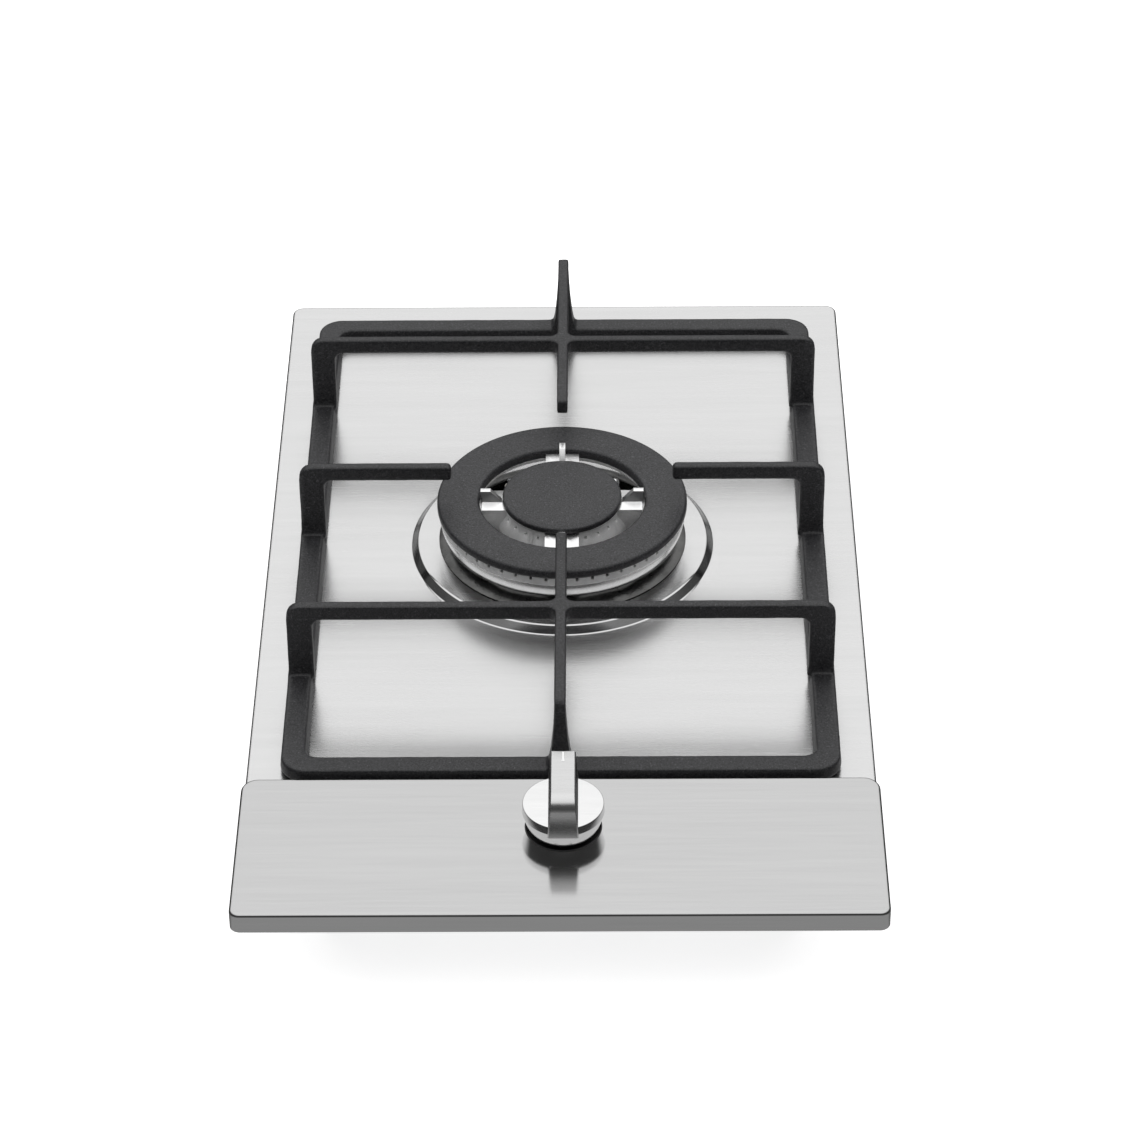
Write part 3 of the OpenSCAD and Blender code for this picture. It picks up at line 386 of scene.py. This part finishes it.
SLOT_LOOKS = {
    "stainless_plate": STEEL,
    "galvanised_steel": galvanised("galvanised_sheet"),
    "zinc_fasteners": metal("zinc_plated", (0.60, 0.62, 0.64), 0.30, spread=0.08, stain=(0.52, 0.50, 0.42)),
    "seal_foam": moulded("foam_strip", (0.045, 0.045, 0.048), 0.95, grain=700.0, depth=0.8),
    "cast_iron_enamel": ENAMEL,
    "black_rubber": moulded("rubber_feet", (0.018, 0.018, 0.018), 0.70, grain=900.0, depth=0.3),
    "cast_aluminium": CAST_PAINTED_SHADE,
    "bright_aluminium": BLASTED,
    "cap_enamel": CAP_ENAMEL,
    "brass_fittings": metal(
        "brass_turned", (0.72, 0.53, 0.24), 0.28, spread=0.10, stain=(0.50, 0.34, 0.13)
    ),
    "tap_casting": metal("tap_cast_alloy", (0.56, 0.51, 0.43), 0.46, grain=700.0, depth=0.5, spread=0.12),
    "pipe_aluminium": metal("pipe_drawn_aluminium", (0.70, 0.71, 0.72), 0.32, grain=1600.0, depth=0.12),
    "rail_steel": metal(
        "rail_coated_steel", (0.50, 0.51, 0.53), 0.36, grain=1000.0, depth=0.2, stain=(0.40, 0.40, 0.38)
    ),
    "electrode_ceramic": moulded(
        "ceramic_glazed", (0.78, 0.76, 0.70), 0.30, grain=900.0, depth=0.1, spread=0.05
    ),
    "copper": metal("copper_drawn", (0.78, 0.42, 0.27), 0.30, spread=0.10, stain=(0.45, 0.22, 0.12)),
    "knob_metal": CHROME,
    "black_plastic": moulded("plastic_black", (0.022, 0.022, 0.024), 0.45),
    "red_plastic": moulded("plastic_red", (0.45, 0.02, 0.015), 0.40),
    "lead_silicone": moulded("silicone_lead", (0.33, 0.03, 0.02), 0.55, grain=1200.0),
    "wire_insulation": moulded("wire_blue", (0.03, 0.07, 0.30), 0.42, grain=1200.0),
    "terminal_plastic": moulded("terminal_ivory", (0.72, 0.68, 0.56), 0.42, spread=0.06),
}


# ---------- plate and control panel ----------


def roll(radius, top):
    """(inset, height) of an edge rolled over, from the flat face out and down."""
    steps = 6
    out = []
    for k in range(steps + 1):
        a = math.radians(90 * k / steps)
        out.append((radius * (1 - math.sin(a)), top - radius * (1 - math.cos(a))))
    return out


def build_plate():
    """The pressed plate: its boss, its edge rolled over and its underside, with the knob's hole."""
    bm = bmesh.new()
    box = (PLATE_LO[0], PLATE_HI[0], PLATE_LO[1], PLATE_HI[1])
    radii = (6, 6, 6, 6)
    boss_z, hole_r, flat_r = PLATE_HI[2], 57, 82
    over = round_corners(
        [(hole_r, boss_z), (73.1, boss_z), (76.4, PLATE_Z), (flat_r, PLATE_Z)], [0, 1.4, 1.2, 0], 6, False
    )
    inside = [(hole_r, boss_z), (72.5, boss_z), (75.8, PLATE_Z), (flat_r, PLATE_Z)]
    under = round_corners([(r, z - SHEET) for r, z in inside], [0, 1.4, 2.2, 0], 6, False)
    top_rings = [ring(bm, BURNER, r, z, 192) for r, z in over]
    low_rings = [ring(bm, BURNER, r, z, 192) for r, z in under]
    for a, b in zip(top_rings, top_rings[1:]):
        bridge(bm, a, b)
    for f in bm.faces:
        f.normal_update()
        f.material_index = int(abs(f.normal.z) < 0.985)
    for a, b in zip(low_rings, low_rings[1:]):
        bridge(bm, b, a)
    bridge(bm, low_rings[0], top_rings[0])
    edge = [level(bm, shrunk(box, 2.6, radii), PLATE_Z)]
    edge += [level(bm, shrunk(box, inset, radii), z) for inset, z in roll(1.6, PLATE_Z)]
    edge += [level(bm, shrunk(box, 0.0, radii), PLATE_LO[2] + 0.25)]
    edge += [level(bm, shrunk(box, 0.25, radii), PLATE_LO[2])]
    edge += [level(bm, shrunk(box, SHEET, radii), PLATE_LO[2])]
    edge += [level(bm, shrunk(box, SHEET, radii), PLATE_Z - SHEET - 0.6)]
    edge += [level(bm, shrunk(box, SHEET + 0.6, radii), PLATE_Z - SHEET)]
    for a, b in zip(edge, edge[1:]):
        bridge(bm, a, b)
    hole = [ring(bm, KNOB, 7, z, 40) for z in (PLATE_Z, PLATE_Z - SHEET)]
    bridge(bm, hole[1], hole[0])
    fill(bm, edge[0], top_rings[-1], hole[0])
    fill(bm, edge[-1], low_rings[-1], hole[1])
    place_piece(to_object("plate_steel", bm, [STEEL, PRESSED]), "top_plate")


def build_panel():
    """The folded panel that laps over the plate's front."""
    bm = bmesh.new()
    box = (PANEL_LO[0], PANEL_HI[0], PANEL_LO[1], PANEL_HI[1])
    radii = (5, 5, 8, 8)
    rear, side = PANEL_HI[1], PLATE_HI[0] + 0.2

    def skirt(inset):
        """Bottom edge: it hangs over the plate's sides and stops on the plate behind."""
        points = shrunk(box, inset, radii)
        return [
            bm.verts.new((x, y, PLATE_Z + 0.08 if y > rear - 12 and abs(x) < side else PANEL_LO[2]))
            for x, y in points
        ]

    edge = [level(bm, shrunk(box, 2.8, radii), PANEL_Z)]
    edge += [level(bm, shrunk(box, inset, radii), z) for inset, z in roll(1.7, PANEL_Z)]
    edge += [skirt(0.0), skirt(SHEET)]
    edge += [level(bm, shrunk(box, SHEET, radii), PANEL_Z - SHEET - 0.6)]
    edge += [level(bm, shrunk(box, SHEET + 0.6, radii), PANEL_Z - SHEET)]
    for a, b in zip(edge, edge[1:]):
        bridge(bm, a, b)
    hole = [ring(bm, KNOB, HOLE_R, z, 96) for z in (PANEL_Z, PANEL_Z - SHEET)]
    bridge(bm, hole[1], hole[0])
    fill(bm, edge[0], hole[0])
    fill(bm, edge[-1], hole[1])
    place_piece(to_object("panel_steel", bm, PANEL_STEEL), "front_panel")


# ---------- pan support ----------


def apply_modifiers(obj):
    bpy.context.view_layer.update()
    mesh = bpy.data.meshes.new_from_object(obj.evaluated_get(bpy.context.evaluated_depsgraph_get()))
    obj.modifiers.clear()
    old, obj.data = obj.data, mesh
    bpy.data.meshes.remove(old)


def uneven(mesh, waves):
    """Moves the surface in and out by noise of these (scale, depth) pairs, as a casting is."""
    count = len(mesh.vertices)
    places, normals = np.empty(count * 3), np.empty(count * 3)
    mesh.vertices.foreach_get("co", places)
    mesh.vertices.foreach_get("normal", normals)
    places, normals = places.reshape(-1, 3), normals.reshape(-1, 3)
    shift = np.zeros(count)
    for scale, depth in waves:
        shift += depth * np.array([noise.noise(Vector(p) * scale) for p in places])
    mesh.vertices.foreach_set("co", (places + normals * shift[:, None]).ravel())
    mesh.update()


def keep_inside(mesh, low, high):
    """Nothing of the mesh lies outside its CAD node's box."""
    places = np.empty(len(mesh.vertices) * 3)
    mesh.vertices.foreach_get("co", places)
    places = np.clip(places.reshape(-1, 3), np.array(low) * MM, np.array(high) * MM)
    mesh.vertices.foreach_set("co", places.ravel())
    mesh.update()


def fillet_block(bm, corner, r, du, dv, place, low, high):
    """A solid that fills the inner corner between two walls with a concave curve."""
    cu, cv = corner
    outline = [(cu - 0.4 * du, cv - 0.4 * dv), (cu + r * du, cv - 0.4 * dv), (cu + r * du, cv)]
    for k in range(1, 6):
        a = math.radians(90 * k / 6)
        outline.append((cu + du * r * (1 - math.sin(a)), cv + dv * r * (1 - math.cos(a))))
    outline += [(cu, cv + r * dv), (cu - 0.4 * du, cv + r * dv)]
    prism(bm, outline, place, low, high)


def build_pan_support():
    """One casting, melted together from its bars, legs and fingers."""
    bm = bmesh.new()
    foot, bar_top, top = FRAME_LO[2], PLATE_Z + 8.5, FRAME_HI[2]
    under = top - 8.0
    half_w = FRAME_HI[0]
    bar_half, finger_half = 2.6, 2.75
    cross_y = 114.5
    y0, y1 = FRAME_LO[1], FRAME_HI[1]
    box = (-half_w, half_w, y0, y1)
    outer, inner = (13,) * 4, (18,) * 4
    rings = [
        level(bm, shrunk(box, 0.0, outer), foot + 0.3),
        level(bm, shrunk(box, 0.7, outer), bar_top),
        level(bm, shrunk(box, 11.6, inner), bar_top),
        level(bm, shrunk(box, 13.3, inner), foot + 0.3),
    ]
    for a, b in zip(rings, rings[1:] + rings[:1]):
        bridge(bm, a, b)

    leg_out, leg_in, foot_z = half_w - 1.0, half_w - 13.4, foot + 1.5
    tip = 55.5
    bx, by = BURNER

    def wide(yc):
        return lambda u, v, t: (u, yc + t, v)

    def deep(u, v, t):
        return (bx + t, u, v)

    def flat(u, v, t):
        return (u, v, t)

    # the two bars right across and the two side fingers, with their legs at the frame's sides
    for yc in (by - cross_y, by + cross_y):
        outline = round_corners(
            [(-leg_in, under), (leg_in, under), (leg_in, foot_z), (leg_out, foot_z), (leg_out, top),
             (-leg_out, top), (-leg_out, foot_z), (-leg_in, foot_z)],
            [4.5, 4.5, 0, 0, 7, 7, 0, 0], 6,
        )
        prism(bm, outline, wide(yc), -bar_half, bar_half)
        for du in (-1, 1):
            for dv in (-1, 1):
                fillet_block(bm, (bx + du * 2.7, yc + dv * bar_half), 4.0, du, dv, flat, under, top)
    for side in (-1, 1):
        outline = round_corners(
            [(side * tip, under), (side * leg_in, under), (side * leg_in, foot_z), (side * leg_out, foot_z),
             (side * leg_out, top), (side * tip, top)],
            [1.6, 4.5, 0, 0, 7, 2.4], 6,
        )
        prism(bm, outline, wide(by), -bar_half, bar_half)
    leg_sections = [(0.6, 3.9, -1.5), (0.3, 3.4, 0.6), (0, 2.8, 2.6), (0, bar_half, 9)]
    for yc in (by - cross_y, by, by + cross_y):
        for side in (-1, 1):
            x_low, x_high = sorted((side * leg_in, side * leg_out))
            stack(bm, [(x_low - out, x_high, yc - w, yc + w, bar_top + z) for out, w, z in leg_sections])

    # the two fingers along the middle; their legs spread towards the foot
    depth = 10.0
    for out_y, tip_y, corner in ((y1 - 1.5, by + tip, 5.0), (y0 + 1.0, by - tip, 4.5)):
        away = 1 if out_y > tip_y else -1
        outline = round_corners(
            [(tip_y, under), (out_y, under), (out_y, top), (tip_y, top)], [1.6, 0, corner, 2.2], 6
        )
        prism(bm, outline, deep, -finger_half, finger_half)
        inner_y = out_y - away * depth
        fillet_block(bm, (inner_y, under), 4.5, -away, -1, deep, -finger_half, finger_half)
        y_low, y_high = sorted((out_y, inner_y))
        upper = [(-0.4, 7.0), (1.6, 5.7), (5, 4.9), (12, 4.1), (20, 3.4), (28, 2.95)]
        flare = [(foot_z, 8.6)] + [(bar_top + up, w) for up, w in upper] + [(under + 1, finger_half)]
        stack(bm, [(bx - w, bx + w, y_low, y_high, z) for z, w in flare])

    obj = to_object("pan_support_cast", bm, ENAMEL, sharp=0)
    remesh = obj.modifiers.new("cast", "REMESH")
    remesh.mode = "VOXEL"
    remesh.voxel_size = 0.0008
    remesh.use_smooth_shade = True
    soften = obj.modifiers.new("soften", "SMOOTH")
    soften.factor = 0.5
    soften.iterations = 5
    apply_modifiers(obj)
    mesh = obj.data
    uneven(mesh, [(90, 0.00010), (320, 0.00003)])
    keep_inside(mesh, FRAME_LO, FRAME_HI)
    mesh.polygons.foreach_set("use_smooth", [True] * len(mesh.polygons))
    place_piece(obj, "pan_support")


# ---------- burner ----------


def build_caps():
    """The loose ring cap and the loose middle cap."""
    base = CAP_HI[2] - 5.0
    rim = (CAP_HI[0] - CAP_LO[0]) / 2
    bm = bmesh.new()
    profile = round_corners(
        [(41.7, base), (56, base), (56, base - 1.6), (57.8, base - 1.6), (57.8, base), (rim - 0.9, base),
         (rim, base + 1.2), (rim, base + 5), (41.7, base + 5)],
        [0.5, 0.2, 0.2, 0.4, 0.2, 0.5, 0.8, 2.2, 1.7], 5,
    )
    lathe(bm, profile, BURNER, 192)
    place_piece(to_object("cap_outer_enamel", bm, CAP_ENAMEL, 40), "outer_cap")

    base = INNER_HI[2] - 4.6
    rim = (INNER_HI[0] - INNER_LO[0]) / 2
    bm = bmesh.new()
    edge = round_corners(
        [(24, base), (24, base - 1.5), (25.6, base - 1.5), (25.6, base), (rim - 0.9, base),
         (rim, base + 1.0), (rim, base + 3.5), (rim - 3.4, base + 4.0), (rim - 8, base + 4.25)],
        [0.2, 0.2, 0.4, 0.2, 0.5, 0.7, 1.5, 2.0, 0], 5, False,
    )
    dome = [(r, base + 4.6 - 0.35 * (r / (rim - 8)) ** 2) for r in (18, 12, 6, 0)]
    rings = [ring(bm, BURNER, 0, base, 1)] + [ring(bm, BURNER, r, z, 144) for r, z in edge + dome[:-1]]
    rings += [ring(bm, BURNER, 0, dome[-1][1], 1)]
    for a, b in zip(rings, rings[1:]):
        bridge(bm, a, b)
    place_piece(to_object("cap_inner_enamel", bm, CAP_ENAMEL, 40), "inner_cap")


def copied(node, name, materials, bevel, pick=None):
    """A new piece from a CAD node's mesh: welded, its edges broken and its faces sorted into materials."""
    sharp = math.radians(38)
    bm = bmesh.new()
    bm.from_mesh(frame["nodes"][node].data)
    bmesh.ops.scale(bm, vec=(1 / MM, 1 / MM, 1 / MM), verts=bm.verts)
    bmesh.ops.remove_doubles(bm, verts=bm.verts, dist=0.002)
    bmesh.ops.dissolve_limit(bm, angle_limit=math.radians(1.0), verts=bm.verts, edges=bm.edges)
    for f in bm.faces:
        f.material_index = pick(f.calc_center_median(), f.normal) if pick else 0
    obj = to_object(name, bm, materials, 0)
    mod = obj.modifiers.new("edges", "BEVEL")
    mod.width = bevel * MM
    mod.segments = 2
    mod.limit_method = "ANGLE"
    mod.angle_limit = sharp
    mod.use_clamp_overlap = True
    mod.miter_outer = "MITER_ARC"
    apply_modifiers(obj)
    mesh = obj.data
    mesh.polygons.foreach_set("use_smooth", [True] * len(mesh.polygons))
    mesh.set_sharp_from_angle(angle=sharp)
    place_piece(obj, node)


def crown_faces(centre, normal):
    """Which of the crown's looks a face has: 1 its polished band, 2 its bright tops, 0 the rest."""
    r = math.hypot(centre.x - BURNER[0], centre.y - BURNER[1])
    z = centre.z - PLATE_Z
    if r > 60.6 and z < 20:
        return 1
    if z > 26.5 or (r < 58 and z > 23.5 and normal.z > 0.9):
        return 2
    return 0


# ---------- knob ----------


# the handle's nose, seen from the side: radius, and its centre in front of the knob's axis
NOSE_R = 7.5
NOSE_Y = -11.1


def bend(y, z, radius_y, radius_z, degrees):
    """Points (y, z) along an arc about a centre."""
    angles = [math.radians(a) for a in degrees]
    return [(y + radius_y * math.cos(a), z + radius_z * math.sin(a)) for a in angles]


def build_knob_disc():
    """The knob's disc, with a skirt that tapers in towards the panel."""
    foot_z, waist_z, top = DISC_LO[2], DISC_HI[2] - 4.1, DISC_HI[2]
    rim, wall = (DISC_HI[0] - DISC_LO[0]) / 2, 1.3
    bm = bmesh.new()
    profile = round_corners(
        [(0, top - 1.5), (rim - wall, top - 1.5), (rim - wall, waist_z), (rim - 3.7, foot_z),
         (rim - 2.5, foot_z), (rim, waist_z), (rim - 0.4, top), (0, top)],
        [0, 0.2, 0.2, 0.2, 0.35, 0.5, 0.4, 0], 5, False,
    )
    lathe(bm, profile, KNOB, 144, closed=False)
    place_piece(to_object("knob_disc_satin", bm, CHROME, 40), "knob_disc")


def build_grip_core():
    """The handle's black core, ribbed along both sides and squeezed in behind the cover's nose."""
    kx, ky = KNOB
    base, top = DISC_HI[2], GRIP_HI[2]
    pitch, teeth, groove = 1.5, 22, 0.45
    bend_y = -8.0
    levels = [
        (base + 0.02, 6.9), (base + 1.0, 6.85), (top - 7.5, 6.4), (top - 5.5, 6.25), (top - 4.0, 6.15),
        (top - 2.8, 6.05), (top - 1.3, 5.95), (top - 1.1, 5.4),
    ]
    bm = bmesh.new()
    rows = []
    for z, half in levels:
        above = max(z - (top - NOSE_R), 0.0)
        front = NOSE_Y - math.sqrt(max((NOSE_R - 1.0) ** 2 - above ** 2, 0.0))
        squeeze = (front - bend_y) / (-pitch * teeth / 2 - bend_y - 0.6)
        cut = 0.0 if z > top - 1.2 else groove
        plan = []
        for side in (1, -1):
            for k in range(teeth + 1):
                y = (k - teeth / 2) * pitch * side
                plan += [(side * (half - cut), y - 0.42 * side), (side * half, y - 0.20 * side),
                         (side * half, y + 0.20 * side), (side * (half - cut), y + 0.42 * side)]
        plan = [(x, y if y > bend_y else bend_y + (y - bend_y) * squeeze) for x, y in plan]
        rows.append([bm.verts.new((kx + x, ky + y, z)) for x, y in plan])
    solid(bm, rows)
    core = to_object("knob_grip_core", bm, RIBBED, 30)
    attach(core, BODY_OF["knob_grip"])


def build_grip_cover():
    """The handle's bright cover, bent over its top and down both ends."""
    kx, ky = KNOB
    top, foot = GRIP_HI[2], GRIP_LO[2]
    reach = (GRIP_HI[1] - GRIP_LO[1]) / 2
    thick, chamfer = 0.9, 0.55
    path = [(reach, foot), (reach, foot + 6), (reach - 0.1, top - 1.4)]
    path += bend(reach - 1.2, top - 1.2, 1.1, 1.2, (25, 50, 75, 90))
    path += [(y, top - 0.1) for y in (12, 6, 0, -5, -9)]
    path += bend(NOSE_Y, top - NOSE_R, NOSE_R, NOSE_R, range(90, 172, 9))
    path += [(-reach + 0.55, foot + 8), (-reach, foot + 0.6), (-reach + 0.15, foot)]
    bm = bmesh.new()
    loops = []
    for i, (y, z) in enumerate(path):
        ahead = Vector(path[min(i + 1, len(path) - 1)]) - Vector(path[max(i - 1, 0)])
        out = Vector((ahead.y, -ahead.x)).normalized()
        half = 5.85 + 1.35 * (top - z) / (top - foot)
        section = [(-half, -thick), (-half, -chamfer), (-half + chamfer, 0.0)]
        section += [(-x, d) for x, d in reversed(section)]
        loops.append([bm.verts.new((kx + x, ky + y + out.x * d, z + out.y * d)) for x, d in section])
    solid(bm, loops)
    place_piece(to_object("knob_grip_cover", bm, SATIN, 30), "knob_grip")


def build_pointer():
    """The pointer line let into the handle's top."""
    kx, ky = KNOB
    top = GRIP_HI[2]
    reach = (GRIP_HI[1] - GRIP_LO[1]) / 2
    half, head = 0.45, 1.0
    near, neck, wide, tip = reach - 1.4, reach - 6.8, reach - 7.6, reach - 8.6
    mark = round_corners(
        [(-head, wide), (0, tip), (head, wide), (half, neck), (half, near), (-half, near), (-half, neck)],
        [0.3, 0.3, 0.3, 0.1, 0.1, 0.1, 0.1], 3,
    )
    bm = bmesh.new()
    rows = []
    for z, size in ((top - 0.6, 1.0), (top - 0.03, 1.0), (top, 0.9)):
        rows.append([bm.verts.new((kx + x * size, ky + y, z)) for x, y in mark])
    solid(bm, rows)
    pointer = to_object("knob_pointer", bm, BRIGHT, 30)
    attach(pointer, BODY_OF["knob_grip"])


# ---------- everything together ----------

build_plate()
build_panel()
build_pan_support()
build_caps()
copied("burner_crown", "crown_aluminium", [BLASTED, POLISHED, BRIGHT], 0.25, crown_faces)
build_knob_disc()
build_grip_core()
build_grip_cover()
build_pointer()

SHOWN_ALREADY = {
    "top_plate", "front_panel", "pan_support", "outer_cap", "inner_cap",
    "burner_crown", "knob_disc", "knob_grip",
}
for node_name in sorted(frame["nodes"]):
    if node_name not in SHOWN_ALREADY:
        # the thermocouple's tip is bright steel, although its lead is copper
        look = BRIGHT if node_name == "thermocouple" else SLOT_LOOKS[SLOT_OF[node_name]]
        copied(node_name, node_name + "_piece", look, 0.2)


# ---------- camera, light and floor ----------


def look_frame(pitch, yaw, roll_angle):
    """Right, up and back vectors of a camera turned by these angles, in degrees."""
    p, y, r = (math.radians(a) for a in (pitch, yaw, roll_angle))
    ahead = Vector((math.sin(y) * math.cos(p), math.cos(y) * math.cos(p), -math.sin(p)))
    right = Vector((math.cos(y), -math.sin(y), 0))
    up = right.cross(ahead)
    return right * math.cos(r) + up * math.sin(r), up * math.cos(r) - right * math.sin(r), -ahead


CAMERA_PLACE = (0.0183, -1.6708, 1.3130)
CAMERA_TURNS = (36.80, -0.61, -0.60)

camera_data = bpy.data.cameras.new("camera")
camera = bpy.data.objects.new("camera", camera_data)
scene.collection.objects.link(camera)
right, up, back = look_frame(*CAMERA_TURNS)
camera.matrix_world = Matrix((
    (right.x, up.x, back.x, CAMERA_PLACE[0]),
    (right.y, up.y, back.y, CAMERA_PLACE[1]),
    (right.z, up.z, back.z, CAMERA_PLACE[2]),
    (0, 0, 0, 1),
))
camera_data.sensor_width = 36
camera_data.lens = 133.6
camera_data.clip_start = 0.05
camera_data.clip_end = 20
scene.camera = camera

scene.view_settings.view_transform = "Standard"
scene.view_settings.look = "None"

floor_mesh = bpy.data.meshes.new("floor")
floor_mesh.from_pydata([(-4, -4, 0), (4, -4, 0), (4, 4, 0), (-4, 4, 0)], [], [(0, 1, 2, 3)])
floor = bpy.data.objects.new("floor", floor_mesh)
scene.collection.objects.link(floor)
floor.visible_glossy = False
floor_look = bpy.data.materials.new("floor_white")
floor_look.use_nodes = True
floor_shader = floor_look.node_tree.nodes["Principled BSDF"]
floor_shader.inputs["Base Color"].default_value = (0.92, 0.92, 0.92, 1)
floor_shader.inputs["Roughness"].default_value = 0.9
floor_shader.inputs["Specular IOR Level"].default_value = 0.0
floor_shader.inputs["Emission Color"].default_value = (1, 1, 1, 1)
floor_shader.inputs["Emission Strength"].default_value = 0.8
floor_mesh.materials.append(floor_look)

world = bpy.data.worlds.new("studio")
scene.world = world
world.use_nodes = True
sky = world.node_tree
direction = sky.nodes.new("ShaderNodeTexCoord")


def lobe(towards, stops):
    """A tone that depends on how far a direction lies from the given one."""
    dot = sky.nodes.new("ShaderNodeVectorMath")
    dot.operation = "DOT_PRODUCT"
    dot.inputs[1].default_value = Vector(towards)
    sky.links.new(direction.outputs["Generated"], dot.inputs[0])
    half = sky.nodes.new("ShaderNodeMath")
    half.operation = "MULTIPLY_ADD"
    half.inputs[1].default_value = 0.5
    half.inputs[2].default_value = 0.5
    sky.links.new(dot.outputs["Value"], half.inputs[0])
    ramp = sky.nodes.new("ShaderNodeValToRGB")
    sky.links.new(half.outputs["Value"], ramp.inputs["Fac"])
    while len(ramp.color_ramp.elements) < len(stops):
        ramp.color_ramp.elements.new(0.5)
    for element, (position, value) in zip(ramp.color_ramp.elements, stops):
        element.position = position
        element.color = (value, value, value, 1)
    return ramp.outputs["Color"]


# bright above and behind, dark round the horizon in front, grey from below
OVERHEAD = (0.0, 0.30, 0.954)
DOME = [
    (0.0, 0.36), (0.2, 0.36), (0.28, 0.12), (0.40, 0.05),
    (0.71, 0.06), (0.765, 0.45), (0.82, 0.93), (1.0, 1.05),
]
sky.links.new(lobe(OVERHEAD, DOME), sky.nodes["Background"].inputs["Color"])
sky.nodes["Background"].inputs["Strength"].default_value = 1.25
